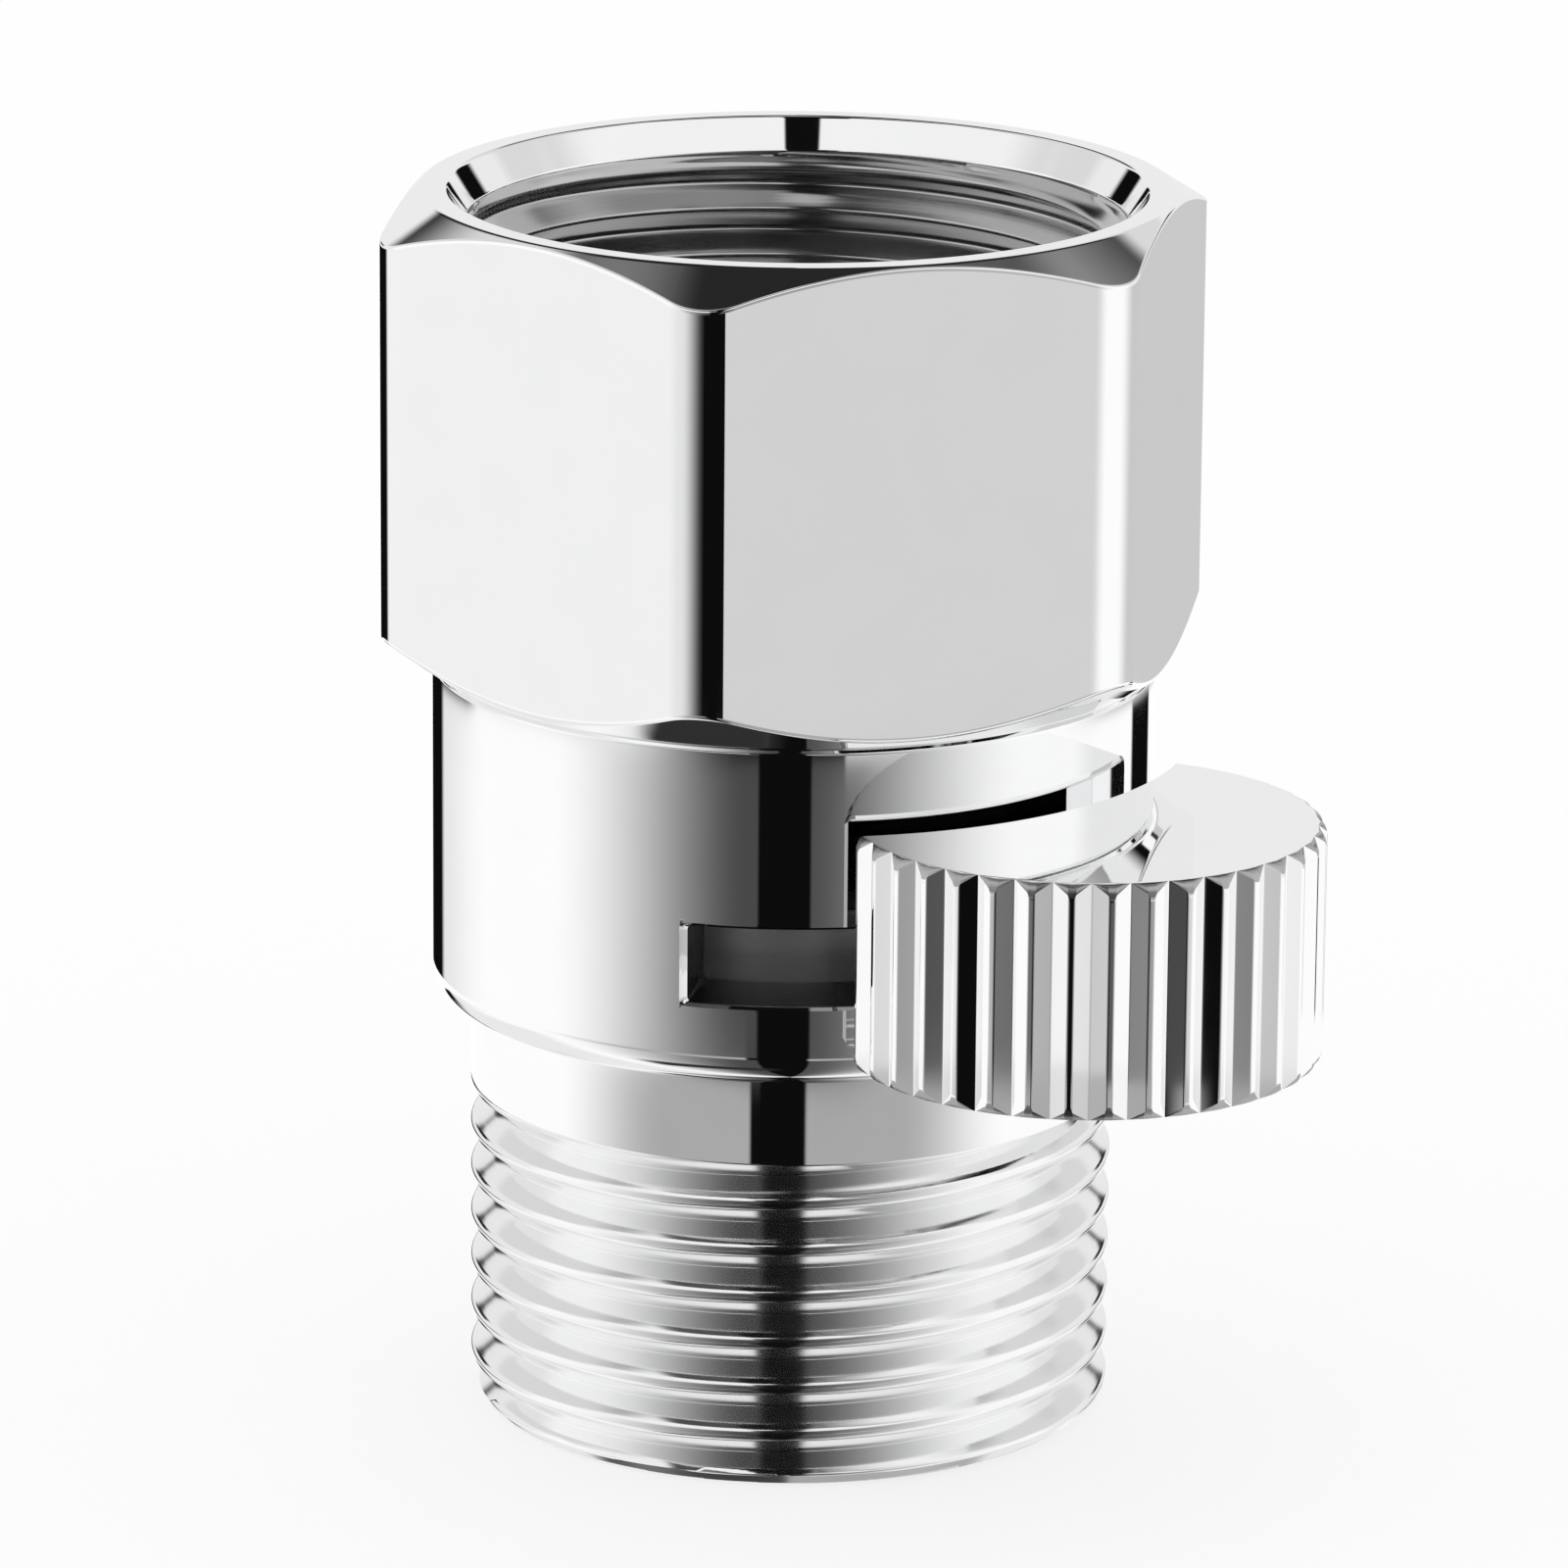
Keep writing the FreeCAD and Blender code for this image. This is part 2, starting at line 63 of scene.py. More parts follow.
# Short names of types. An edge is a start and an end, a strip a start, an end and a softness,
# and a fade a start, an end and the levels at both.
Point = tuple[float, float]
Polar = tuple[np.ndarray, np.ndarray, np.ndarray]
Mapper = Callable[[np.ndarray, np.ndarray, np.ndarray], Polar]
Piece = bpy.types.Object
Socket = bpy.types.NodeSocket
Node = bpy.types.Node
Value = Socket | float
Edge = tuple[float, float]
Strip = tuple[float, float, float]
Fade = tuple[float, float, float, float]


class Body(Enum):
    """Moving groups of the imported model."""

    HOUSING = "housing"
    KNOB = "knob_and_rotor"


class Slot(Enum):
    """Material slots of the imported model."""

    CHROME = "polished_chrome"
    ROTOR = "plated_rotor"


# Outlines


@dataclass(frozen=True)
class Corner:
    """One corner of an outline.

    Attributes:
        across: Distance from the axis, or along the outline's first direction.
        up: Height, or distance along the outline's second direction.
        cut: Length of edge that the rounding takes away on both sides.
    """

    across: float
    up: float
    cut: float = 0.0


def round_one(corner: Corner, neighbours: Sequence[Corner], steps: int) -> list[Point]:
    """Rounds one corner, with a close ring beside the rounding that keeps the walls true.

    Args:
        corner: The corner.
        neighbours: The corner before it and the one after it.
        steps: Number of straight pieces in the rounding.

    Returns:
        The points that take the corner's place.
    """
    at = np.array([corner.across, corner.up])
    ends = []
    guards = []
    for other in neighbours:
        way = np.array([other.across, other.up]) - at
        length = float(np.linalg.norm(way))
        ends.append(at + way / length * min(corner.cut, 0.40 * length))
        guards.append(at + way / length * min(1.5 * corner.cut, 0.47 * length))
    arc = [
        (1 - share) ** 2 * ends[0] + 2 * share * (1 - share) * at + share**2 * ends[1]
        for share in np.linspace(0, 1, steps + 1)
    ]
    return [(float(spot[0]), float(spot[1])) for spot in (guards[0], *arc, guards[1])]


def rounded(corners: Sequence[Corner], closed: bool = True, steps: int = 3) -> list[Point]:
    """Rounds the corners of an outline.

    Args:
        corners: The corners in order.
        closed: True where the last corner joins the first.
        steps: Number of straight pieces in each rounding.

    Returns:
        The points of the rounded outline.
    """
    points: list[Point] = []
    count = len(corners)
    for index, corner in enumerate(corners):
        if corner.cut > 0 and (closed or 0 < index < count - 1):
            points += round_one(corner, (corners[index - 1], corners[(index + 1) % count]), steps)
        else:
            points.append((corner.across, corner.up))
    return points


# Bench: modelling steps that several pieces share


def clear_selection() -> None:
    """Leaves edit mode and deselects every object."""
    if bpy.context.object is not None and bpy.context.object.mode != "OBJECT":
        bpy.ops.object.mode_set(mode="OBJECT")
    bpy.ops.object.select_all(action="DESELECT")


def take(piece: Piece) -> None:
    """Makes one piece the only selected and active object.

    Args:
        piece: The piece.
    """
    clear_selection()
    piece.select_set(True)
    bpy.context.view_layer.objects.active = piece


def edit_all(piece: Piece) -> None:
    """Opens a piece in edit mode with its whole mesh selected.

    Args:
        piece: The piece.
    """
    take(piece)
    bpy.ops.object.mode_set(mode="EDIT")
    bpy.ops.mesh.select_all(action="SELECT")


def leave_edit() -> None:
    """Goes back to object mode."""
    bpy.ops.object.mode_set(mode="OBJECT")


def settle(piece: Piece) -> None:
    """Merges doubled points and turns every face outwards.

    Args:
        piece: The piece.
    """
    edit_all(piece)
    bpy.ops.mesh.remove_doubles(threshold=MERGE)
    bpy.ops.mesh.dissolve_degenerate(threshold=THIN)
    bpy.ops.mesh.select_all(action="SELECT")
    bpy.ops.mesh.normals_make_consistent(inside=False)
    leave_edit()


def draw_outline(name: str, points: Sequence[Point], closed: bool) -> Piece:
    """Draws an outline in the XZ plane, point by point, from a plane merged to one vertex.

    Args:
        name: Name of the new object.
        points: Distance from the axis and height of each point, in millimetres.
        closed: True where the last point joins the first.

    Returns:
        The new object, which has edges only.
    """
    clear_selection()
    bpy.ops.mesh.primitive_plane_add(size=MM)
    piece = bpy.context.object
    piece.name = name
    piece.data.name = name
    edit_all(piece)
    bpy.ops.mesh.merge(type="CENTER")
    at = Vector((points[0][0] * MM, 0.0, points[0][1] * MM))
    bpy.ops.transform.translate(value=at)
    for across, up in points[1:]:
        spot = Vector((across * MM, 0.0, up * MM))
        bpy.ops.mesh.extrude_region_move(TRANSFORM_OT_translate={"value": spot - at})
        at = spot
    leave_edit()
    if closed:
        ends = (0, len(piece.data.vertices) - 1)
        for vertex in piece.data.vertices:
            vertex.select = vertex.index in ends
        bpy.ops.object.mode_set(mode="EDIT")
        bpy.ops.mesh.edge_face_add()
        leave_edit()
    return piece


def turn(name: str, points: Sequence[Point], steps: int) -> Piece:
    """Spins a closed outline once round the pipe axis.

    Args:
        name: Name of the new piece.
        points: Closed outline of distances from the axis and heights.
        steps: Number of faces round the axis.

    Returns:
        The turned piece.
    """
    piece = draw_outline(name, points, closed=True)
    edit_all(piece)
    bpy.ops.mesh.spin(steps=steps, angle=2 * math.pi, center=(0, 0, 0), axis=(0, 0, 1))
    settle(piece)
    return piece


def add_block(size: Sequence[float]) -> Piece:
    """Adds a block round the origin.

    Args:
        size: Its three lengths, in millimetres.

    Returns:
        The block.
    """
    clear_selection()
    bpy.ops.mesh.primitive_cube_add(size=1.0)
    block = bpy.context.object
    block.dimensions = [length * MM for length in size]
    bpy.ops.object.transform_apply(location=False, rotation=False, scale=True)
    return block


def slice_all(at: Sequence[float], normal: Sequence[float], clear: bool = False) -> None:
    """Cuts the whole mesh in edit mode along a plane.

    Args:
        at: A place on the plane, in millimetres.
        normal: Direction across the plane.
        clear: True to drop the side that the direction points to.
    """
    bpy.ops.mesh.select_all(action="SELECT")
    place = [value * MM for value in at]
    bpy.ops.mesh.bisect(plane_co=place, plane_no=normal, clear_outer=clear, threshold=CUT)


def start_pick(kind: str) -> None:
    """Deselects the whole mesh, so that single parts of it can be picked in object mode.

    Args:
        kind: Kind of part that is picked, EDGE or FACE.
    """
    bpy.ops.object.mode_set(mode="EDIT")
    bpy.ops.mesh.select_mode(type=kind)
    bpy.ops.mesh.select_all(action="DESELECT")
    leave_edit()


def pick_edges(piece: Piece, rule: Callable[[Vector, Vector], bool]) -> None:
    """Goes to edit mode with only some edges selected.

    Args:
        piece: The active piece.
        rule: Says of an edge's two ends whether it is picked.
    """
    start_pick("EDGE")
    for edge in piece.data.edges:
        first, second = (piece.data.vertices[index].co for index in edge.vertices)
        edge.select = rule(first, second)
    bpy.ops.object.mode_set(mode="EDIT")


def pick_faces(piece: Piece, rule: Callable[[bpy.types.MeshPolygon], bool]) -> None:
    """Goes to edit mode with only some faces selected.

    Args:
        piece: The active piece.
        rule: Says of a face whether it is picked.
    """
    start_pick("FACE")
    for face in piece.data.polygons:
        face.select = rule(face)
    bpy.ops.object.mode_set(mode="EDIT")


def read_spots(piece: Piece) -> np.ndarray:
    """Reads the place of every vertex.

    Args:
        piece: The piece.

    Returns:
        One row of three millimetre values for each vertex.
    """
    flat = np.empty(len(piece.data.vertices) * 3)
    piece.data.vertices.foreach_get("co", flat)
    return flat.reshape(-1, 3) / MM


def write_spots(piece: Piece, columns: Sequence[np.ndarray]) -> None:
    """Puts every vertex at its place.

    Args:
        piece: The piece.
        columns: Its x, y and z values, in millimetres.
    """
    piece.data.vertices.foreach_set("co", (np.stack(columns, axis=1) * MM).ravel())
    piece.data.update()


def read_polar(piece: Piece) -> Polar:
    """Reads every vertex as seen from the pipe axis.

    Args:
        piece: The piece.

    Returns:
        Distance from the axis, azimuth in degrees, and height.
    """
    x, y, z = read_spots(piece).T
    return np.hypot(x, y), np.degrees(np.arctan2(x, -y)), z


def write_polar(piece: Piece, radius: np.ndarray, azimuth: np.ndarray, height: np.ndarray) -> None:
    """Puts every vertex at its place round the pipe axis.

    Args:
        piece: The piece.
        radius: Distance from the axis, in millimetres.
        azimuth: Azimuth in degrees.
        height: Height in millimetres.
    """
    turned = np.radians(azimuth)
    write_spots(piece, (radius * np.sin(turned), -radius * np.cos(turned), height))


def reshape(piece: Piece, mapper: Mapper) -> None:
    """Moves every vertex by a rule on its distance from the axis, azimuth and height."""
    write_polar(piece, *mapper(*read_polar(piece)))


def nearest(values: np.ndarray, table: np.ndarray) -> np.ndarray:
    """Row of the table that lies nearest to each row of values."""
    gaps = ((values[:, None, :] - table[None, :, :]) ** 2).sum(axis=2)
    return gaps.argmin(axis=1)


def apply_change(piece: Piece, kind: str, **settings: object) -> None:
    """Adds a modifier to a piece, sets it up and applies it.

    Args:
        piece: The piece.
        kind: Type of the modifier.
        settings: Its properties and their values.
    """
    take(piece)
    bpy.ops.object.modifier_add(type=kind)
    change = piece.modifiers[-1]
    for name, value in settings.items():
        setattr(change, name, value)
    bpy.ops.object.modifier_apply(modifier=change.name)


def cut_away(piece: Piece, cutter: Piece) -> None:
    """Takes the cutter's volume out of the piece and removes the cutter."""
    apply_change(piece, "BOOLEAN", operation="DIFFERENCE", solver="EXACT", object=cutter)
    bpy.data.objects.remove(cutter, do_unlink=True)


def join(main: Piece, others: Sequence[Piece]) -> None:
    """Joins other objects into the main one.

    Args:
        main: The object that stays.
        others: The objects that become a part of it.
    """
    take(main)
    for other in others:
        other.select_set(True)
    bpy.ops.object.join()


def smooth(piece: Piece, angle: float) -> None:
    """Shades a piece smooth, with the large faces kept true.

    Args:
        piece: The piece.
        angle: Greatest angle between two faces that still shade as one, in degrees.
    """
    take(piece)
    bpy.ops.object.shade_smooth_by_angle(angle=math.radians(angle), keep_sharp_edges=True)
    apply_change(piece, "WEIGHTED_NORMAL", mode="FACE_AREA", thresh=0.0, keep_sharp=True)


# Shader graphs


@dataclass
class Graph:
    """A node tree with short ways to add and join its nodes.

    Attributes:
        tree: The node tree that is written.
    """

    tree: bpy.types.NodeTree

    def add(self, kind: str, **settings: object) -> Node:
        """Adds a node.

        Args:
            kind: Type of the node.
            settings: Its properties and their values.

        Returns:
            The node.
        """
        node = self.tree.nodes.new(kind)
        for name, value in settings.items():
            setattr(node, name, value)
        return node

    def feed(self, socket: Socket, value: object) -> None:
        """Links an output to a socket, or sets the socket to a plain value.

        Args:
            socket: The input socket.
            value: An output socket, or a plain value.
        """
        if isinstance(value, Socket):
            self.tree.links.new(value, socket)
        else:
            socket.default_value = value

    def math(self, operation: str, *values: Value) -> Socket:
        """Adds a Math node.

        Args:
            operation: Name of the operation.
            values: Outputs or numbers that it works on.

        Returns:
            The result's socket.
        """
        node = self.add("ShaderNodeMath", operation=operation)
        for socket, value in zip(node.inputs, values):
            self.feed(socket, value)
        return node.outputs[0]

    def ramp(self, value: Value, start: float, end: float, low: float = 0.0, high: float = 1.0) -> Socket:
        """Smooth step from low to high while the value goes from start to end.

        Args:
            value: The output that drives the step.
            start: Value at which the step begins.
            end: Value at which it ends, which may be below start.
            low: Result at start.
            high: Result at end.

        Returns:
            The result's socket.
        """
        node = self.add("ShaderNodeMapRange", interpolation_type="SMOOTHSTEP", clamp=True)
        if start > end:
            start, end, low, high = end, start, high, low
        self.feed(node.inputs["Value"], value)
        for name, number in (("From Min", start), ("From Max", end), ("To Min", low), ("To Max", high)):
            node.inputs[name].default_value = number
        return node.outputs["Result"]

    def blend(self, share: Value, first: Value, second: Value) -> Socket:
        """Mixes two numbers.

        Args:
            share: Share of the second number, from 0 to 1.
            first: The first number.
            second: The second number.

        Returns:
            The result's socket.
        """
        node = self.add("ShaderNodeMix", data_type="FLOAT", clamp_factor=True)
        for index, value in ((0, share), (2, first), (3, second)):
            self.feed(node.inputs[index], value)
        return node.outputs[0]

    def mix(self, share: Value, first: Socket, second: Socket) -> Socket:
        """Mixes two shaders.

        Args:
            share: Share of the second shader, from 0 to 1.
            first: The first shader.
            second: The second shader.

        Returns:
            The result's socket.
        """
        node = self.add("ShaderNodeMixShader")
        for index, value in enumerate((share, first, second)):
            self.feed(node.inputs[index], value)
        return node.outputs[0]

    def within(self, value: Value, start: float, end: float, soft: float) -> Socket:
        """Mask that is 1 inside a range.

        Args:
            value: The output that is looked at.
            start: Start of the range.
            end: End of the range.
            soft: Half the width of its soft edges.

        Returns:
            The mask's socket.
        """
        rise = self.ramp(value, start - soft, start + soft)
        fall = self.ramp(value, end - soft, end + soft, 1.0, 0.0)
        return self.math("MULTIPLY", rise, fall)

    def flagged(self, value: Value, flags: Sequence[Strip], level: Value) -> Socket:
        """Darkens a level wherever a flag stands.

        Args:
            value: The output that says where it is looked at.
            flags: Start, end and softness of each flag.
            level: The level without flags.

        Returns:
            The level's socket.
        """
        for flag in flags:
            level = self.blend(self.within(value, *flag), level, BLACK)
        return level


def new_material(name: str) -> tuple[bpy.types.Material, Graph]:
    """Makes a material whose graph is still empty.

    Args:
        name: Name of the material.

    Returns:
        The material and its graph.
    """
    material = bpy.data.materials.new(name)
    material.use_nodes = True
    material.node_tree.nodes.clear()
    return material, Graph(material.node_tree)


def new_effect(name: str, inputs: dict[str, float], output: str) -> tuple[Graph, Node, Node]:
    """Starts a shader node group with numbered inputs, a vector and one value output.

    Args:
        name: Name of the group.
        inputs: Names and default values of its inputs.
        output: Name of its output.

    Returns:
        The group's graph, its input node and its output node.
    """
    tree = bpy.data.node_groups.new(name, "ShaderNodeTree")
    tree.interface.new_socket(name="Position", in_out="INPUT", socket_type="NodeSocketVector")
    for key, value in inputs.items():
        socket = tree.interface.new_socket(name=key, in_out="INPUT", socket_type="NodeSocketFloat")
        socket.default_value = value
    tree.interface.new_socket(name=output, in_out="OUTPUT", socket_type="NodeSocketFloat")
    graph = Graph(tree)
    return graph, graph.add("NodeGroupInput"), graph.add("NodeGroupOutput")


class Effects:
    """Shader effects that more than one finish uses, each built once."""

    def __init__(self) -> None:
        """Builds the groups."""
        self.haze = self._haze()
        self.lines = self._lines()
        self.grain = self._grain()

    @staticmethod
    def _noise(graph: Graph, place: Value, scale: Value, detail: float) -> Socket:
        """Adds a noise in space.

        Args:
            graph: The group's graph.
            place: Where the noise is looked at.
            scale: Scale of the noise.
            detail: Number of finer layers in it.

        Returns:
            The noise's socket.
        """
        noise = graph.add("ShaderNodeTexNoise", noise_dimensions="3D")
        noise.inputs["Detail"].default_value = detail
        graph.feed(noise.inputs["Vector"], place)
        graph.feed(noise.inputs["Scale"], scale)
        return noise.outputs["Fac"]

    def _haze(self) -> bpy.types.NodeTree:
        """Slow change between two levels, as polishing leaves it.

        Returns:
            The group's node tree.
        """
        inputs = {"Scale": 300.0, "Low": 0.02, "High": 0.05}
        graph, given, result = new_effect("polishing haze", inputs, "Level")
        noise = self._noise(graph, given.outputs["Position"], given.outputs["Scale"], 3.0)
        share = graph.ramp(noise, 0.35, 0.7)
        graph.feed(result.inputs["Level"], graph.blend(share, given.outputs["Low"], given.outputs["High"]))
        return graph.tree

    def _lines(self) -> bpy.types.NodeTree:
        """Fine turning lines round the pipe axis.

        Returns:
            The group's node tree.
        """
        inputs = {"Lines per metre": 12000.0, "Depth": 1.0}
        graph, given, result = new_effect("turning lines", inputs, "Height")
        split = graph.add("ShaderNodeSeparateXYZ")
        graph.feed(split.inputs[0], given.outputs["Position"])
        stretched = graph.add("ShaderNodeCombineXYZ")
        for index, factor in enumerate((60.0, 60.0, given.outputs["Lines per metre"])):
            graph.feed(stretched.inputs[index], graph.math("MULTIPLY", split.outputs[index], factor))
        noise = self._noise(graph, stretched.outputs[0], 1.0, 2.0)
        graph.feed(result.inputs["Height"], graph.math("MULTIPLY", noise, given.outputs["Depth"]))
        return graph.tree

    def _grain(self) -> bpy.types.NodeTree:
        """Fine cells, as in moulded rubber, plastic and ceramic.

        Returns:
            The group's node tree.
        """
        graph, given, result = new_effect("fine grain", {"Scale": 9000.0, "Depth": 1.0}, "Height")
        noise = self._noise(graph, given.outputs["Position"], given.outputs["Scale"], 4.0)
        graph.feed(result.inputs["Height"], graph.math("MULTIPLY", noise, given.outputs["Depth"]))
        return graph.tree


@dataclass(frozen=True)
class Finish:
    """A surface finish made of one Principled shader and shared effects.

    Attributes:
        name: Name of the material.
        colour: Base colour.
        metallic: 1 for metal and 0 for anything else.
        smooth: Lowest roughness.
        rough: Highest roughness.
        haze_scale: Scale of the change in roughness, per metre.
        stain_scale: Scale of the change in colour over that of the roughness.
        lines: Turning lines per metre, or 0 for moulded grain.
        grain_scale: Scale of the moulded grain, per metre.
        relief: Depth of the lines or grain, in metres.
        tint: Share by which the colour darkens with the haze.
    """

    name: str
    colour: tuple[float, float, float]
    metallic: float
    smooth: float
    rough: float
    haze_scale: float = 260.0
    stain_scale: float = 1.7
    lines: float = 0.0
    grain_scale: float = 9000.0
    relief: float = 0.0
    tint: float = 0.03

    def build(self, effects: Effects) -> bpy.types.Material:
        """Makes the material.

        Args:
            effects: The shared effects.

        Returns:
            The finished material.
        """
        material, graph = new_material(self.name)
        place = graph.add("ShaderNodeTexCoord").outputs["Object"]
        shader = graph.add("ShaderNodeBsdfPrincipled")
        shader.inputs["Metallic"].default_value = self.metallic
        haze = self._haze(graph, effects, place, (self.haze_scale, self.smooth, self.rough))
        graph.feed(shader.inputs["Roughness"], haze)
        stain = self._haze(graph, effects, place, (self.haze_scale * self.stain_scale, 0.0, 1.0))
        mix = graph.add("ShaderNodeMix", data_type="RGBA", clamp_factor=True)
        graph.feed(mix.inputs[0], stain)
        mix.inputs[6].default_value = (*self.colour, 1.0)
        mix.inputs[7].default_value = (*(part * (1 - self.tint) for part in self.colour), 1.0)
        graph.feed(shader.inputs["Base Color"], mix.outputs[2])
        if self.relief > 0:
            graph.feed(shader.inputs["Normal"], self._relief(graph, effects, place))
        surface = graph.add("ShaderNodeOutputMaterial")
        graph.feed(surface.inputs["Surface"], shader.outputs[0])
        return material

    @staticmethod
    def _haze(graph: Graph, effects: Effects, place: Value, levels: Strip) -> Socket:
        """Adds the slow change between two levels.

        Args:
            graph: The material's graph.
            effects: The shared effects.
            place: Where it is looked at.
            levels: Scale of the change, its lowest level and its highest one.

        Returns:
            The level's socket.
        """
        haze = graph.add("ShaderNodeGroup", node_tree=effects.haze)
        graph.feed(haze.inputs["Position"], place)
        for name, value in zip(("Scale", "Low", "High"), levels):
            haze.inputs[name].default_value = value
        return haze.outputs["Level"]

    def _relief(self, graph: Graph, effects: Effects, place: Value) -> Socket:
        """Adds turning lines or moulded grain.

        Args:
            graph: The material's graph.
            effects: The shared effects.
            place: Where it is looked at.

        Returns:
            The socket of the surface's direction.
        """
        if self.lines > 0:
            marks = graph.add("ShaderNodeGroup", node_tree=effects.lines)
            marks.inputs["Lines per metre"].default_value = self.lines
        else:
            marks = graph.add("ShaderNodeGroup", node_tree=effects.grain)
            marks.inputs["Scale"].default_value = self.grain_scale
        graph.feed(marks.inputs["Position"], place)
        bump = graph.add("ShaderNodeBump")
        bump.inputs["Strength"].default_value = 1.0
        bump.inputs["Distance"].default_value = self.relief
        graph.feed(bump.inputs["Height"], marks.outputs["Height"])
        return bump.outputs["Normal"]


FINISHES = {
    "polished": Finish("polished chrome", (0.955, 0.957, 0.96), 1.0, 0.018, 0.035, tint=0.01),
    "thread": Finish(
        "plated thread", (0.93, 0.932, 0.935), 1.0, 0.09, 0.13, lines=26000.0, relief=0.0000006, tint=0.02
    ),
    "inner_thread": Finish(
        "inner thread", (0.52, 0.522, 0.525), 1.0, 0.12, 0.20, lines=26000.0, relief=0.0000016, tint=0.02
    ),
    "rim": Finish("turned rim", (0.46, 0.46, 0.465), 1.0, 0.24, 0.32, lines=16000.0, relief=0.000001),
    # The slot's walls are plated like the barrel; their near-black colour is painted shade, standing for the
    # shadow inside the slot
    "slot": Finish("slot painted shade", (0.13, 0.13, 0.13), 1.0, 0.22, 0.30, lines=16000.0, relief=0.000002),
    "bore": Finish("plated bore", (0.72, 0.725, 0.73), 1.0, 0.16, 0.26, lines=16000.0, relief=0.000002),
    "rotor": Finish("turned rotor", (0.88, 0.88, 0.885), 1.0, 0.40, 0.48, lines=20000.0, relief=0.0000012),
    "steel": Finish("turned steel", (0.62, 0.62, 0.63), 1.0, 0.18, 0.28, lines=16000.0, relief=0.000002),
    "rubber": Finish("matt black rubber", (0.028, 0.028, 0.03), 0.0, 0.52, 0.68, relief=0.000012, tint=0.2),
    "plastic": Finish("white glide plastic", (0.83, 0.83, 0.80), 0.0, 0.36, 0.46, relief=0.000004, tint=0.05),
    "ceramic": Finish(
        "lapped white ceramic", (0.86, 0.86, 0.83), 0.0, 0.16, 0.24,
        grain_scale=15000.0, relief=0.000002, tint=0.05,
    ),
}


@dataclass(frozen=True)
class Zone:
    """Ring-shaped space round the pipe axis, in millimetres.

    Attributes:
        inner: Least distance from the axis.
        outer: Greatest distance from the axis.
        bottom: Lowest height.
        top: Greatest height.
    """

    inner: float
    outer: float
    bottom: float
    top: float


@dataclass
class Wardrobe:
    """Every finish of the valve, as built materials.

    Attributes:
        materials: The material of each finish, by the finish's short name.
    """

    materials: dict[str, bpy.types.Material] = field(default_factory=dict)

    def __post_init__(self) -> None:
        """Builds the materials."""
        effects = Effects()
        for key, finish in FINISHES.items():
            self.materials[key] = finish.build(effects)

    def wear(self, piece: Piece, *keys: str) -> None:
        """Gives a piece its materials, the first of them all over.

        Args:
            piece: The piece.
            keys: Short names of the finishes.
        """
        piece.data.materials.clear()
        for key in keys:
            piece.data.materials.append(self.materials[key])


def paint_where(piece: Piece, slot: int, zone: Zone) -> None:
    """Gives the faces in a ring-shaped space one of the piece's materials.

    Args:
        piece: The piece.
        slot: Place of the material in the piece's list.
        zone: The space.
    """
    for face in piece.data.polygons:
        x, y, z = face.center / MM
        if zone.inner <= math.hypot(x, y) <= zone.outer and zone.bottom <= z <= zone.top:
            face.material_index = slot


def hand_over(piece: Piece, node: str, body: Body) -> None:
    """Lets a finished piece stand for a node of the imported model.

    Args:
        piece: The piece.
        node: Name of the node that it stands for.
        body: Body that it rides.
    """
    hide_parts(node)
    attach(piece, body.value)
    LOG.info("%s stands for %s, with %d faces", piece.name, node, len(piece.data.polygons))


# Pipe threads


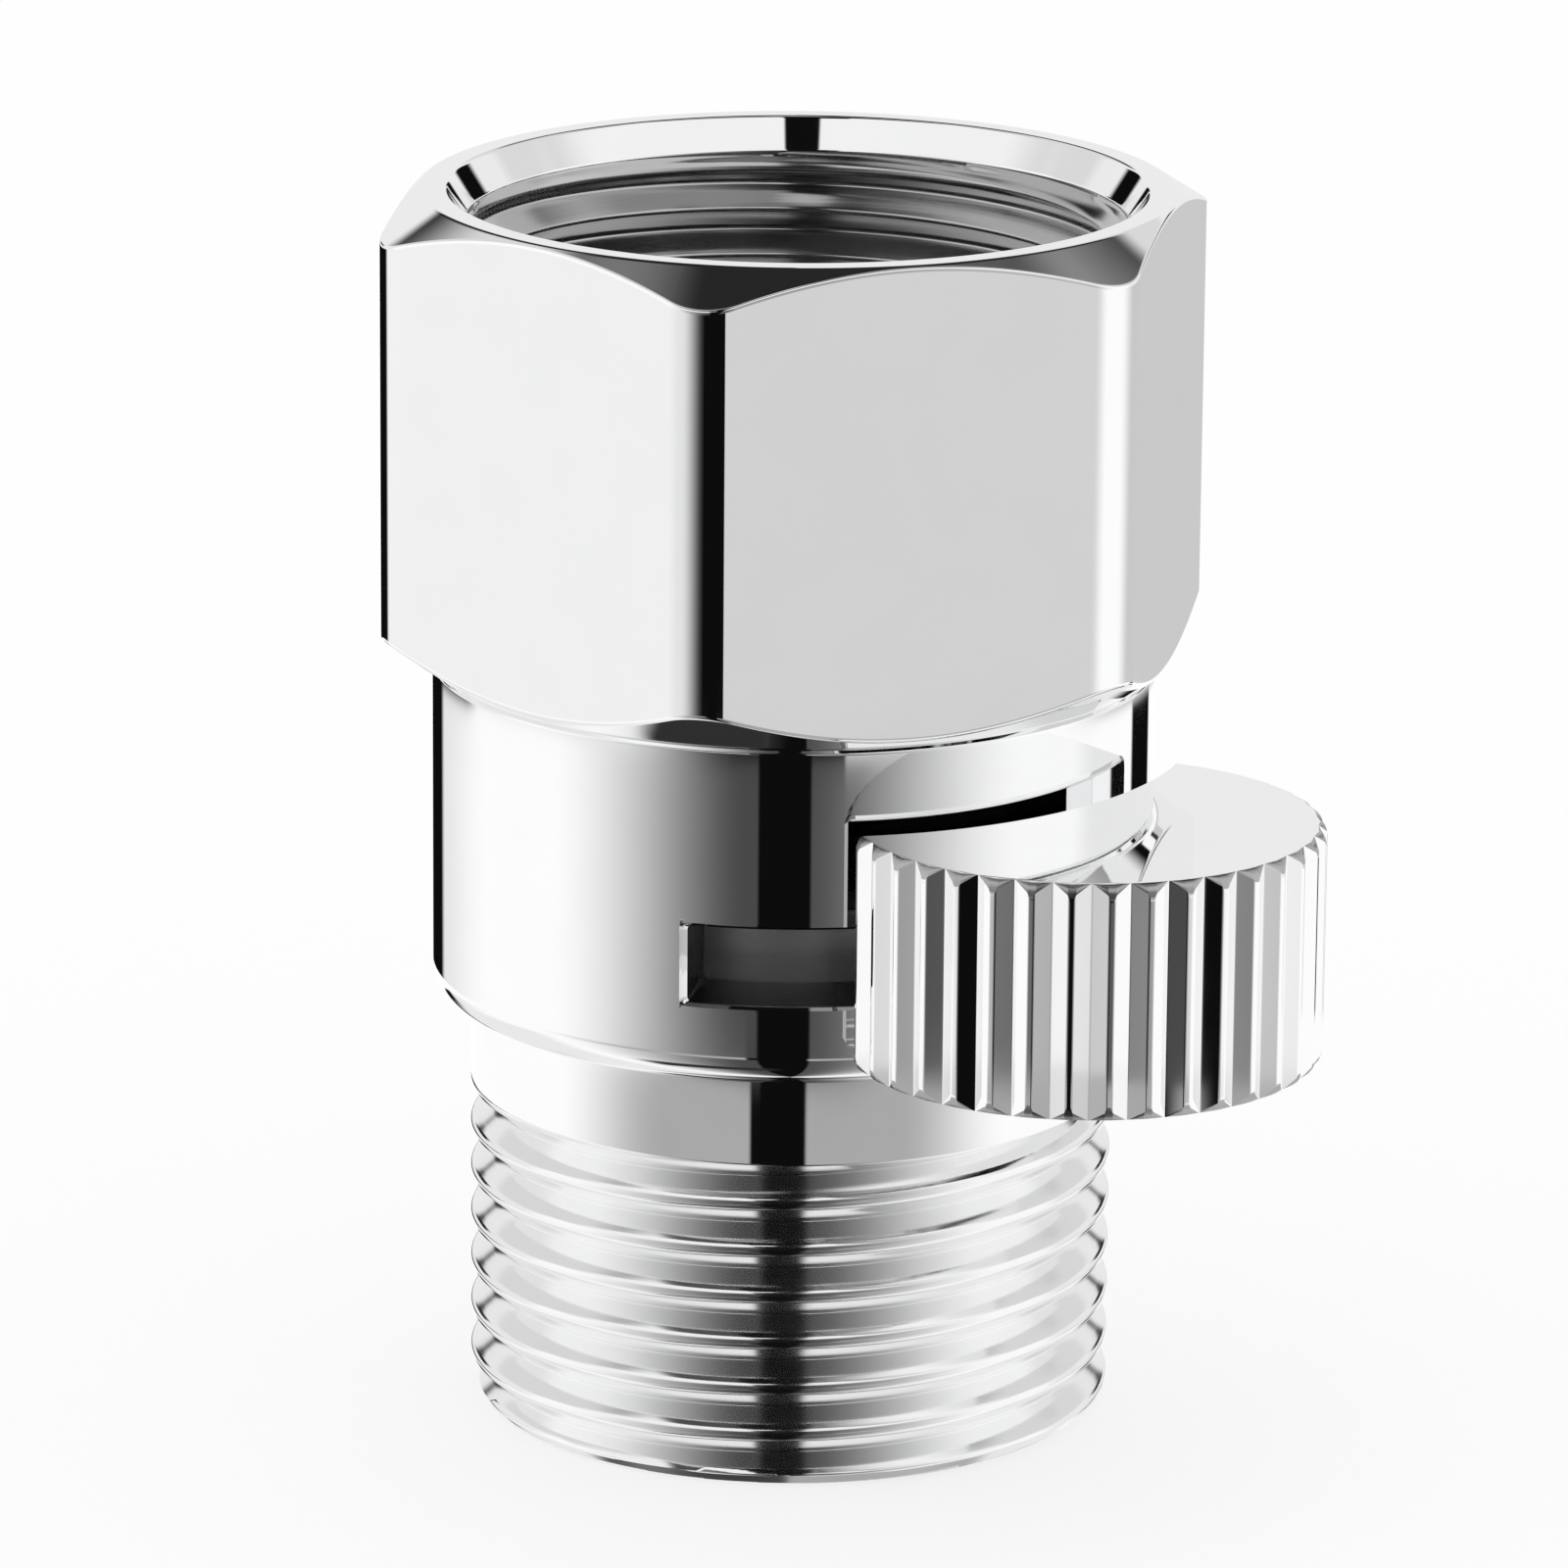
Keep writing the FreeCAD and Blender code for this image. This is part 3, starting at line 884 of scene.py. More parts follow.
@dataclass(frozen=True)
class PipeThread:
    """Right-hand pipe thread with rounded crests and roots.

    Attributes:
        pitch: Height of one turn.
        outer: Greatest radius.
        crest_outside: True for an outside thread and False for an inside one.
        front_height: Height of one crest on the -Y side.
        flank: Angle between a flank and the plane across the axis, in degrees.
        outer_bend: Radius at the greatest distance from the axis.
        inner_bend: Radius at the least distance from the axis.
        steps: Faces in one turn.
        start_azimuth: Azimuth at which the outline is drawn, which is that of +X.
    """

    pitch: float
    outer: float
    crest_outside: bool
    front_height: float
    flank: float = 40.0
    outer_bend: float = 0.3
    inner_bend: float = 0.04
    steps: int = 216
    start_azimuth: float = 90.0

    @property
    def depth(self) -> float:
        """Radial depth of the thread.

        Returns:
            The depth, in millimetres.
        """
        slope = math.radians(self.flank)
        sharp = self.pitch / 2 / math.tan(slope)
        return sharp - (self.outer_bend + self.inner_bend) * (1 / math.sin(slope) - 1)

    def period(self) -> list[Point]:
        """Draws one turn, from root to root.

        Returns:
            Radius and rise of its points.
        """
        reach = math.radians(90 - self.flank)
        inner = np.array([
            (-self.depth + self.inner_bend * (1 - math.cos(angle)), self.inner_bend * math.sin(angle))
            for angle in np.linspace(0, reach, 3)
        ])
        outer = np.array([
            (-self.outer_bend * (1 - math.cos(angle)), self.pitch / 2 - self.outer_bend * math.sin(angle))
            for angle in np.linspace(reach, 0, 6)
        ])
        flank = [inner[-1] + (outer[0] - inner[-1]) * step / 4 for step in range(1, 4)]
        half = [tuple(map(float, point)) for point in (*inner, *flank, *outer)]
        mirrored = [(depth, self.pitch - rise) for depth, rise in reversed(half[:-1])]
        if self.crest_outside:
            return [(self.outer + depth, rise) for depth, rise in half + mirrored]
        return [(self.outer - self.depth - depth, rise) for depth, rise in half + mirrored]

    def wind(self, name: str, bottom: float, top: float) -> Piece:
        """Winds the thread as one helical skin.

        Args:
            name: Name of the new object.
            bottom: Height that the thread starts below.
            top: Height that it ends above.

        Returns:
            The skin, which runs at least one turn past both heights.
        """
        crest = self.front_height + self.pitch * self.start_azimuth / 360
        lift = crest - self.pitch / 2
        lift -= math.ceil((lift - (bottom - 2 * self.pitch)) / self.pitch) * self.pitch
        outline = [(radius, rise + lift) for radius, rise in self.period()]
        skin = draw_outline(name, outline, closed=False)
        apply_change(
            skin, "SCREW", angle=2 * math.pi, screw_offset=self.pitch * MM,
            iterations=math.ceil((top - bottom) / self.pitch) + 3, steps=self.steps,
            render_steps=self.steps, use_merge_vertices=True, merge_threshold=MERGE,
        )
        return skin


def face_outwards(skin: Piece, outside: bool) -> None:
    """Turns all the faces of an open skin to one side.

    Args:
        skin: The skin.
        outside: True to turn them away from the axis, and False towards it.
    """
    radial = 0.0
    for face in skin.data.polygons:
        radial += (face.center.x * face.normal.x + face.center.y * face.normal.y) * face.area
    if (radial > 0) != outside:
        edit_all(skin)
        bpy.ops.mesh.flip_normals()
        leave_edit()


# The valve's pieces


@dataclass
class ValveBarrel:
    """Barrel, neck and outside-threaded outlet, turned in one piece, with the slot."""

    radius: float = 11.7
    bottom: float = 13.7
    top: float = 24.9
    lip: float = 1.0
    edge_ring: float = 0.06
    shoulder_bevel: float = 0.22
    edge: float = 0.04
    thread_radius: float = 10.4775
    thread_top: float = 10.8
    thread_pitch: float = 1.55
    thread_front_crest: float = 7.97
    thread_overlap: float = 0.03
    end_radius: float = 10.0
    bore: float = 6.0
    chamber: float = 8.9
    chamber_floor: float = 10.98
    socket: float = 9.7
    socket_floor: float = 21.3
    recess: float = 10.16
    recess_floor: float = 23.84
    slot_bottom: float = 16.42
    slot_top: float = 18.97
    slot_end_half: float = 1.25
    slot_round: float = 0.18
    slot_edge: float = 0.09
    slot_end_edge: float = 0.19
    slot_end_flare: float = 1.2
    slot_ring: float = 0.2
    slot_slices: int = 97
    slot_round_steps: int = 6
    slot_reach_in: float = 0.7
    slot_reach_out: float = 0.8
    closed_azimuth: float = -10.35
    sweep: float = 90.0
    steps: int = 512
    crease: float = 36.0
    thread_crease: float = 80.0
    lip_steps: int = 12

    def build(self, wardrobe: Wardrobe) -> None:
        """Makes the piece, dresses it and hands it over.

        Args:
            wardrobe: The finishes.
        """
        core = self._body()
        cut_away(core, self._slot_cutter())
        thread = self._thread()
        for part, angle in ((core, self.crease), (thread, self.thread_crease)):
            wardrobe.wear(part, "polished", "thread", "bore", "slot")
            smooth(part, angle)
        join(core, [thread])
        paint_where(core, 1, Zone(inner=9.2, outer=10.6, bottom=-0.1, top=self.thread_top - 0.02))
        paint_where(core, 2, Zone(inner=0.0, outer=9.0, bottom=0.05, top=21.0))
        # Painted shade: the slot's walls, up to their bright cut edges, take the near-black finish for the
        # shadow inside the slot
        paint_where(core, 3, Zone(
            inner=9.0, outer=self.radius - self.slot_end_edge,
            bottom=self.slot_bottom - 0.1, top=self.slot_top + 0.1,
        ))
        core.name = "valve_body"
        hand_over(core, "valve_barrel", Body.HOUSING)

    def _body(self) -> Piece:
        """Turns the barrel with its bores, without thread and slot.

        Returns:
            The turned piece.
        """
        root = self.thread_radius - self._thread_form().depth - 0.05
        corners = [
            Corner(self.bore, 0.0, 0.2),
            Corner(root, 0.0),
            Corner(root, self.thread_top),
            Corner(self.thread_radius, self.thread_top, 0.05),
            Corner(self.thread_radius, self.bottom),
            Corner(self.radius, self.bottom, self.lip),
            Corner(self.radius, self.slot_bottom - self.slot_ring),
            Corner(self.radius, self.slot_top + self.slot_ring),
            Corner(self.radius, self.top - self.shoulder_bevel, self.edge),
            Corner(self.radius - self.shoulder_bevel, self.top, self.edge),
            Corner(self.recess, self.top),
            Corner(self.recess, self.recess_floor),
            Corner(self.socket, self.recess_floor),
            Corner(self.socket, self.socket_floor),
            Corner(self.chamber, self.socket_floor),
            Corner(self.chamber, self.chamber_floor),
            Corner(self.bore, self.chamber_floor),
        ]
        return turn("valve body", self._with_lip(corners), self.steps)

    def _thread_form(self) -> PipeThread:
        """Form of the outlet thread."""
        return PipeThread(self.thread_pitch, self.thread_radius, True, self.thread_front_crest)

    def _with_lip(self, corners: list[Corner]) -> list[Point]:
        """Draws the lip as a true arc and softens the other corners.

        Args:
            corners: The corners of the outline, one of them with the lip's size as its cut.

        Returns:
            The points of the outline.
        """
        index = next(i for i, corner in enumerate(corners) if corner.cut == self.lip)
        arc = []
        for angle in np.radians(np.linspace(-90, 0, self.lip_steps + 1)):
            across = self.radius - self.lip + self.lip * math.cos(angle)
            arc.append(Corner(across, self.bottom + self.lip + self.lip * math.sin(angle)))
        arc.append(Corner(self.radius, self.bottom + self.lip + self.edge_ring))
        return rounded(corners[:index] + arc + corners[index + 1 :])

    def _slot_cutter(self) -> Piece:
        """Makes a bar with rounded corners and a flared outer end, wrapped round the barrel.

        Returns:
            The bar.
        """
        arc = math.radians(self.sweep) * self.radius
        length = arc + 2 * self.slot_end_half
        height = self.slot_top - self.slot_bottom
        inner, outer = self.chamber - self.slot_reach_in, self.radius + self.slot_reach_out
        depth = outer - inner
        centre = (inner + outer) / 2
        bar = add_block((length, depth, height))
        bar.name = "slot cutter"
        pick_edges(bar, lambda first, second: abs((second - first).y) > 0.5 * depth * MM)
        bpy.ops.mesh.bevel(offset=self.slot_round * MM, segments=self.slot_round_steps, affect="EDGES")
        bpy.ops.mesh.select_mode(type="VERT")
        for at in (self.radius - self.slot_end_edge, self.radius - self.slot_edge, self.radius + 0.02):
            slice_all((0, at - centre, 0), (0, 1, 0))
        for at in np.linspace(-arc / 2, arc / 2, self.slot_slices):
            slice_all((at, 0, 0), (1, 0, 0))
        leave_edit()
        along, away, up = read_spots(bar).T
        away = away + centre
        along_flare = np.maximum(away - (self.radius - self.slot_end_edge), 0.0)
        up_flare = np.maximum(away - (self.radius - self.slot_edge), 0.0)
        along = along * (1 + self.slot_end_flare * along_flare / (length / 2))
        up = up * (1 + up_flare / (height / 2)) + (self.slot_top + self.slot_bottom) / 2
        write_polar(bar, away, self._wrap(along, away, arc), up)
        settle(bar)
        return bar

    def _wrap(self, along: np.ndarray, radius: np.ndarray, arc: float) -> np.ndarray:
        """Wraps the bar round the barrel, with ends that stay square to the pin.

        Args:
            along: Places along the bar.
            radius: Distances from the axis.
            arc: Length of the slot between the middles of its ends.

        Returns:
            The azimuths.
        """
        middle = self.closed_azimuth + self.sweep / 2
        past = np.maximum(np.abs(along) - arc / 2, 0.0)
        within = np.clip(along, -arc / 2, arc / 2) / arc * self.sweep
        return middle + within + np.sign(along) * np.degrees(np.arcsin(np.clip(past / radius, -1, 1)))

    def _thread(self) -> Piece:
        """Winds the outlet thread, closes its lower end and runs it out under the neck.

        Returns:
            The thread's skin.
        """
        form = self._thread_form()
        skin = form.wind("outlet thread", 0.0, self.thread_top)
        edit_all(skin)
        for level, up in ((self.thread_top + self.thread_overlap, 1), (0.0, -1)):
            slice_all((0, 0, level), (0, 0, up), clear=True)
        leave_edit()
        pick_edges(skin, lambda first, second: max(first.z, second.z) < 0.0001 * MM)
        bpy.ops.mesh.extrude_edges_move()
        bpy.ops.mesh.select_mode(type="VERT")
        leave_edit()
        floor = np.array([vertex.select for vertex in skin.data.vertices])

        def bevel(radius: np.ndarray, azimuth: np.ndarray, height: np.ndarray) -> Polar:
            """Bevels the lower end and draws its new edge in under the core.

            Args:
                radius: Distances from the axis.
                azimuth: Azimuths.
                height: Heights.

            Returns:
                The same three after the move.
            """
            radius = np.minimum(radius, self.end_radius + np.maximum(height, 0.0))
            return np.where(floor, self.thread_radius - form.depth - 0.1, radius), azimuth, height

        reshape(skin, bevel)
        settle(skin)
        face_outwards(skin, outside=True)
        return skin


@dataclass
class InletNut:
    """Hexagonal inlet nut with its inside thread and the spigot under it."""

    bottom: float = 24.9
    top: float = 40.3
    half_width: float = 12.2
    corner_round: float = 2.1
    azimuth: float = -12.35
    top_chamfer_radius: float = 12.05
    top_chamfer_angle: float = 32.5
    bottom_chamfer_radius: float = 11.85
    bottom_chamfer_angle: float = 36.0
    countersink: float = 11.27
    countersink_depth: float = 1.05
    thread_radius: float = 10.5775
    thread_floor: float = 31.7
    thread_pitch: float = 1.55
    thread_front_crest: float = 38.2
    thread_bend: float = 0.12
    thread_fade: float = 0.9
    pilot: float = 9.5
    washer_seat: float = 29.6
    waterway: float = 5.6
    spigot: float = 9.6
    spigot_end: float = 21.4
    undercut: float = 9.1
    undercut_floor: float = 23.84
    edge: float = 0.07
    per_flat: int = 60
    per_corner: int = 24
    crease: float = 42.0
    thread_crease: float = 80.0

    @property
    def thread_end(self) -> float:
        """Height at which thread and countersink meet."""
        return self.top - self.countersink_depth

    def build(self, wardrobe: Wardrobe) -> None:
        """Makes the piece, dresses it and hands it over.

        Args:
            wardrobe: The finishes.
        """
        shell = self._shell()
        thread = self._thread()
        wardrobe.wear(shell, "polished", "inner_thread", "bore")
        wardrobe.wear(thread, "inner_thread")
        smooth(shell, self.crease)
        smooth(thread, self.thread_crease)
        join(shell, [thread])
        paint_where(shell, 1, Zone(
            inner=9.45, outer=10.7, bottom=self.thread_floor - 0.1, top=self.thread_end - 0.02
        ))
        paint_where(shell, 2, Zone(inner=0.0, outer=9.6, bottom=21.0, top=self.thread_floor))
        shell.name = "inlet_nut"
        hand_over(shell, "inlet_coupling", Body.HOUSING)

    def _outline(self, reach: float) -> list[Point]:
        """Draws the nut's outline at one place round the axis.

        Args:
            reach: Distance of the outer wall from the axis there.

        Returns:
            The points of the outline.
        """
        low = math.tan(math.radians(self.bottom_chamfer_angle)) * (reach - self.bottom_chamfer_radius)
        high = math.tan(math.radians(self.top_chamfer_angle)) * (reach - self.top_chamfer_radius)
        socket = self.thread_radius + 0.02
        return rounded([
            Corner(self.spigot, self.spigot_end, 0.15),
            Corner(self.spigot, self.undercut_floor),
            Corner(self.undercut, self.undercut_floor),
            Corner(self.undercut, self.bottom),
            Corner(self.bottom_chamfer_radius, self.bottom, self.edge),
            Corner(reach, self.bottom + low, self.edge),
            Corner(reach, self.top - high, self.edge),
            Corner(self.top_chamfer_radius, self.top, self.edge),
            Corner(self.countersink, self.top, self.edge),
            Corner(socket, self.thread_end, 0.04),
            Corner(socket, self.thread_floor),
            Corner(self.pilot, self.thread_floor),
            Corner(self.pilot, self.washer_seat),
            Corner(self.waterway, self.washer_seat),
            Corner(self.waterway, self.spigot_end),
        ])

    def _samples(self) -> tuple[np.ndarray, np.ndarray]:
        """Spreads the faces' edges round the nut, closer at its corners.

        Returns:
            Azimuths of the edges, and the wall's distance from the axis there.
        """
        slope = math.cos(math.radians(30))
        centre = (self.half_width - self.corner_round) / slope
        azimuths: list[float] = []
        reaches: list[float] = []
        for sector in range(6):
            vertex = self.azimuth + 60 * sector
            bends = np.radians(np.linspace(-30, 30, self.per_corner + 1))
            across = self.corner_round * np.sin(bends)
            out = centre + self.corner_round * np.cos(bends)
            azimuths += list(vertex + np.degrees(np.arctan2(across, out)))
            reaches += list(np.hypot(across, out))
            start = azimuths[-1]
            half = vertex + 30 - start
            flats = self.per_flat - self.per_corner
            for step in range(1, flats):
                azimuth = start + 2 * half * step / flats
                azimuths.append(azimuth)
                reaches.append(self.half_width / math.cos(math.radians(azimuth - vertex - 30)))
        return np.array(azimuths), np.array(reaches)

    def _shell(self) -> Piece:
        """Spins the nut and then sets its wall to the hexagon, face edge by face edge.

        Returns:
            The shaped piece.
        """
        azimuths, reaches = self._samples()
        nominal = np.array(self._outline(float(reaches.max())))
        shell = turn("inlet nut", [tuple(point) for point in nominal], len(azimuths))
        outlines = np.array([self._outline(float(reach)) for reach in reaches])

        def to_hexagon(radius: np.ndarray, azimuth: np.ndarray, height: np.ndarray) -> Polar:
            """Moves each ring of points to the outline of its own azimuth.

            Args:
                radius: Distances from the axis.
                azimuth: Azimuths.
                height: Heights.

            Returns:
                The same three after the move.
            """
            ring = nearest(np.stack([radius, height], axis=1), nominal)
            column = np.round(((azimuth - 90) % 360) / (360 / len(azimuths))).astype(int) % len(azimuths)
            placed = outlines[column, ring]
            return placed[:, 0], azimuths[column], placed[:, 1]

        reshape(shell, to_hexagon)
        return shell

    def _thread(self) -> Piece:
        """Winds the inlet thread and fades it into the countersink.

        Returns:
            The thread's skin.
        """
        form = PipeThread(
            self.thread_pitch, self.thread_radius, False, self.thread_front_crest,
            outer_bend=self.thread_bend, inner_bend=self.thread_bend,
        )
        skin = form.wind("inlet thread", self.thread_floor, self.thread_end)
        wall = self.thread_radius + 0.01

        def trim(radius: np.ndarray, azimuth: np.ndarray, height: np.ndarray) -> Polar:
            """Lets the first turn grow out of the wall and hides both ends behind the walls.

            Args:
                radius: Distances from the axis.
                azimuth: Azimuths.
                height: Heights.

            Returns:
                The same three after the move.
            """
            grown = np.clip((self.thread_end - height) / self.thread_fade, 0.0, 1.0)
            grown = grown * grown * (3 - 2 * grown)
            radius = wall - (wall - radius) * grown
            radius = np.where(height > self.thread_end - 0.02, self.thread_radius + 0.3, radius)
            return radius, azimuth, np.clip(height, self.thread_floor - 0.2, self.thread_end)

        reshape(skin, trim)
        settle(skin)
        face_outwards(skin, outside=False)
        return skin


@dataclass
class ThumbKnob:
    """Fluted disc with a hollow side that lies round the barrel."""

    azimuth: float = 41.2
    offset: float = 13.95
    radius: float = 7.6
    bottom: float = 14.75
    height: float = 7.6
    notch: float = 12.75
    edge_break: float = 0.12
    flutes: int = 38
    flute_depth: float = 0.3
    crest_width: float = 0.18
    phase: float = -3.3
    rim_bevel: float = 0.5
    soft: float = 0.035
    crease: float = 20.0
    rim_steps: int = 8
    rim_inset: float = 0.12
    cutter_bore: float = 4.0
    cutter_past: float = 1.0
    cutter_edge: float = 0.03
    cutter_steps: int = 480

    def build(self, wardrobe: Wardrobe) -> None:
        """Makes the piece, dresses it and hands it over.

        Args:
            wardrobe: The finishes.
        """
        knob = self._disc()
        cut_away(knob, self._notch_cutter())
        wardrobe.wear(knob, "polished", "rim")
        self._paint_rim(knob)
        smooth(knob, self.crease)
        knob.name = "thumb_knob_body"
        hand_over(knob, "thumb_knob", Body.KNOB)

    def _paint_rim(self, knob: Piece) -> None:
        """Gives the turned roundings at both ends of the flutes their satin finish.

        Args:
            knob: The piece.
        """
        centre = math.radians(self.azimuth)
        middle = Vector((math.sin(centre), -math.cos(centre), 0)) * self.offset * MM
        root = (self.radius - self.flute_depth - 0.05) * MM
        for face in knob.data.polygons:
            away = face.center - middle
            if 0.1 < abs(face.normal.z) < 0.97 and math.hypot(away.x, away.y) > root:
                face.material_index = 1

    def _flute(self) -> np.ndarray:
        """Draws one flute from valley to valley.

        Returns:
            Azimuth from the valley and radius of each point.
        """
        pitch = 2 * math.pi * self.radius / self.flutes
        half = pitch / 2
        crest = self.crest_width / 2
        ridge = [
            Corner(0.0, -self.flute_depth),
            Corner(half - crest, 0.0, self.soft),
            Corner(half + crest, 0.0, self.soft),
            Corner(pitch, -self.flute_depth),
        ]
        valley = self.soft * 1.2
        drop = valley * self.flute_depth / (half - crest)
        start = [(0.0, -self.flute_depth + drop * 0.35), (valley, -self.flute_depth + drop)]
        end = [(pitch - valley, -self.flute_depth + drop)]
        every = np.array(start + rounded(ridge, closed=False)[1:-1] + end)
        return np.stack([np.degrees(every[:, 0] / self.radius), self.radius + every[:, 1]], axis=1)

    def _rim(self, radius: float) -> list[Point]:
        """Draws the disc's rings at one place round it.

        Args:
            radius: Distance of the wall from the disc's middle there.

        Returns:
            Radius and height of each ring.
        """
        root = self.radius - self.flute_depth
        top = self.bottom + self.height
        first = math.asin(min(max((radius - root) / self.flute_depth, 0.0), 1.0))
        upper = [(radius, top - self.rim_bevel * (1 - math.cos(first)) - self.soft)]
        for angle in np.linspace(first, 0, self.rim_steps + 1):
            drop = self.rim_bevel * (1 - math.cos(angle))
            upper.append((root + self.flute_depth * math.sin(angle), top - drop))
        upper.append((root - self.rim_inset, top))
        lower = [(across, 2 * self.bottom + self.height - up) for across, up in reversed(upper)]
        return lower + upper

    def _cylinder(self, count: int, rings: int) -> Piece:
        """Makes the plain cylinder, a millimetre high, that the disc is shaped from.

        Args:
            count: Faces round it.
            rings: Rings of points that the disc has, the inset ones with them.

        Returns:
            The cylinder.
        """
        clear_selection()
        bpy.ops.mesh.primitive_cylinder_add(
            vertices=count, radius=self.radius * MM, depth=1.0 * MM, end_fill_type="NGON"
        )
        disc = bpy.context.object
        disc.name = "thumb knob"
        bpy.ops.object.mode_set(mode="EDIT")
        for step in range(1, rings - 3):
            slice_all((0, 0, step / (rings - 3) - 0.5), (0, 0, 1))
        pick_faces(disc, lambda face: abs(face.normal.z) > 0.9)
        bpy.ops.mesh.inset(thickness=0.5 * MM)
        bpy.ops.mesh.select_mode(type="VERT")
        leave_edit()
        return disc

    def _disc(self) -> Piece:
        """Shapes a many-sided cylinder, ring by ring, into the fluted disc at its place.

        Returns:
            The disc.
        """
        flute = self._flute()
        per = len(flute)
        count = per * self.flutes
        rings = len(self._rim(self.radius))
        disc = self._cylinder(count, rings)
        radius, azimuth, level = read_polar(disc)
        inset = radius < self.radius - 0.25
        ring = np.round((level + 0.5) * (rings - 3)).astype(int) + 1
        ring = np.where(inset, np.where(level > 0, rings - 1, 0), ring)
        column = np.round((azimuth - azimuth[~inset].min()) / (360 / count)).astype(int) % count
        outlines = np.array([self._rim(float(wall)) for wall in flute[:, 1]])
        placed = outlines[column % per, ring]
        around = flute[column % per, 0] + (column // per) * 360 / self.flutes + (self.phase + self.azimuth)
        turned = np.radians(around)
        centre = math.radians(self.azimuth)
        x = placed[:, 0] * np.sin(turned) + self.offset * math.sin(centre)
        y = -placed[:, 0] * np.cos(turned) - self.offset * math.cos(centre)
        write_spots(disc, (x, y, placed[:, 1]))
        edit_all(disc)
        bpy.ops.mesh.normals_make_consistent(inside=False)
        leave_edit()
        return disc

    def _notch_cutter(self) -> Piece:
        """Turns the ring that hollows the side of the disc and breaks its edges.

        Returns:
            The ring.
        """
        top = self.bottom + self.height
        flare = self.notch + self.edge_break + self.cutter_past
        corners = [
            Corner(self.cutter_bore, self.bottom - self.cutter_past),
            Corner(flare, self.bottom - self.cutter_past),
            Corner(self.notch, self.bottom + self.edge_break, self.cutter_edge),
            Corner(self.notch, top - self.edge_break, self.cutter_edge),
            Corner(flare, top + self.cutter_past),
            Corner(self.cutter_bore, top + self.cutter_past),
        ]
        return turn("knob notch cutter", rounded(corners), self.cutter_steps)


@dataclass
class RotorSleeve:
    """Hollow rotor behind the slot, with two ring grooves."""

    radius: float = 8.82
    bore: float = 5.6
    bottom: float = 14.6
    top: float = 20.9
    groove_floor: float = 7.75
    groove_half: float = 0.575
    groove_offset: float = 2.225
    centre: float = 17.75
    lug_bottom: float = 13.6
    lug_width: float = 1.8
    lug_length: float = 1.1
    lug_bevel: float = 0.08
    azimuth: float = 41.2
    steps: int = 320
    crease: float = 40.0
    edge: float = 0.1
    groove_edge: float = 0.05
    groove_corner: float = 0.08

    def build(self, wardrobe: Wardrobe) -> None:
        """Makes the piece, dresses it and hands it over.

        Args:
            wardrobe: The finishes.
        """
        corners = [Corner(self.bore, self.bottom, self.edge), Corner(self.radius, self.bottom, self.edge)]
        for side in (-1, 1):
            middle = self.centre + side * self.groove_offset
            corners += [
                Corner(self.radius, middle - self.groove_half, self.groove_edge),
                Corner(self.groove_floor, middle - self.groove_half, self.groove_corner),
                Corner(self.groove_floor, middle + self.groove_half, self.groove_corner),
                Corner(self.radius, middle + self.groove_half, self.groove_edge),
            ]
        corners += [Corner(self.radius, self.top, self.edge), Corner(self.bore, self.top, self.edge)]
        sleeve = turn("rotor sleeve", rounded(corners), self.steps)
        join(sleeve, [self._lug(side) for side in (-1, 1)])
        wardrobe.wear(sleeve, "rotor")
        smooth(sleeve, self.crease)
        sleeve.name = "rotor_sleeve"
        hand_over(sleeve, "rotor", Body.KNOB)

    def _lug(self, side: int) -> Piece:
        """Makes one of the two lugs that turn the moving disc, wrapped to the rotor's wall.

        Args:
            side: -1 or 1, for a quarter turn to either side of the knob.

        Returns:
            The lug.
        """
        height = self.bottom + 0.1 - self.lug_bottom
        lug = add_block((self.lug_width, self.lug_length, height))
        edit_all(lug)
        bpy.ops.mesh.bevel(offset=self.lug_bevel * MM, segments=2, affect="EDGES")
        leave_edit()
        across, away, up = read_spots(lug).T
        middle = self.radius - self.lug_length / 2
        azimuth = self.azimuth + 90 * side + np.degrees(across / middle)
        write_polar(lug, middle + away, azimuth, up + self.lug_bottom + height / 2)
        settle(lug)
        return lug


class InnerPieces:
    """Washer, rings, discs, seal and pin, which keep their solid shapes."""

    dressing = {
        "inlet_washer": "rubber",
        "joint_ring": "rubber",
        "lower_rotor_ring": "rubber",
        "upper_rotor_ring": "rubber",
        "seat_seal": "rubber",
        "glide_ring": "plastic",
        "fixed_disc": "ceramic",
        "moving_disc": "ceramic",
        "drive_pin": "steel",
    }

    def build(self, wardrobe: Wardrobe) -> None:
        """Dresses every solid that keeps its own shape.

        Args:
            wardrobe: The finishes.
        """
        for node, key in self.dressing.items():
            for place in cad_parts[node].material_slots:
                place.link = "OBJECT"
                place.material = wardrobe.materials[key]
            LOG.info("%s wears %s", node, key)


# Studio


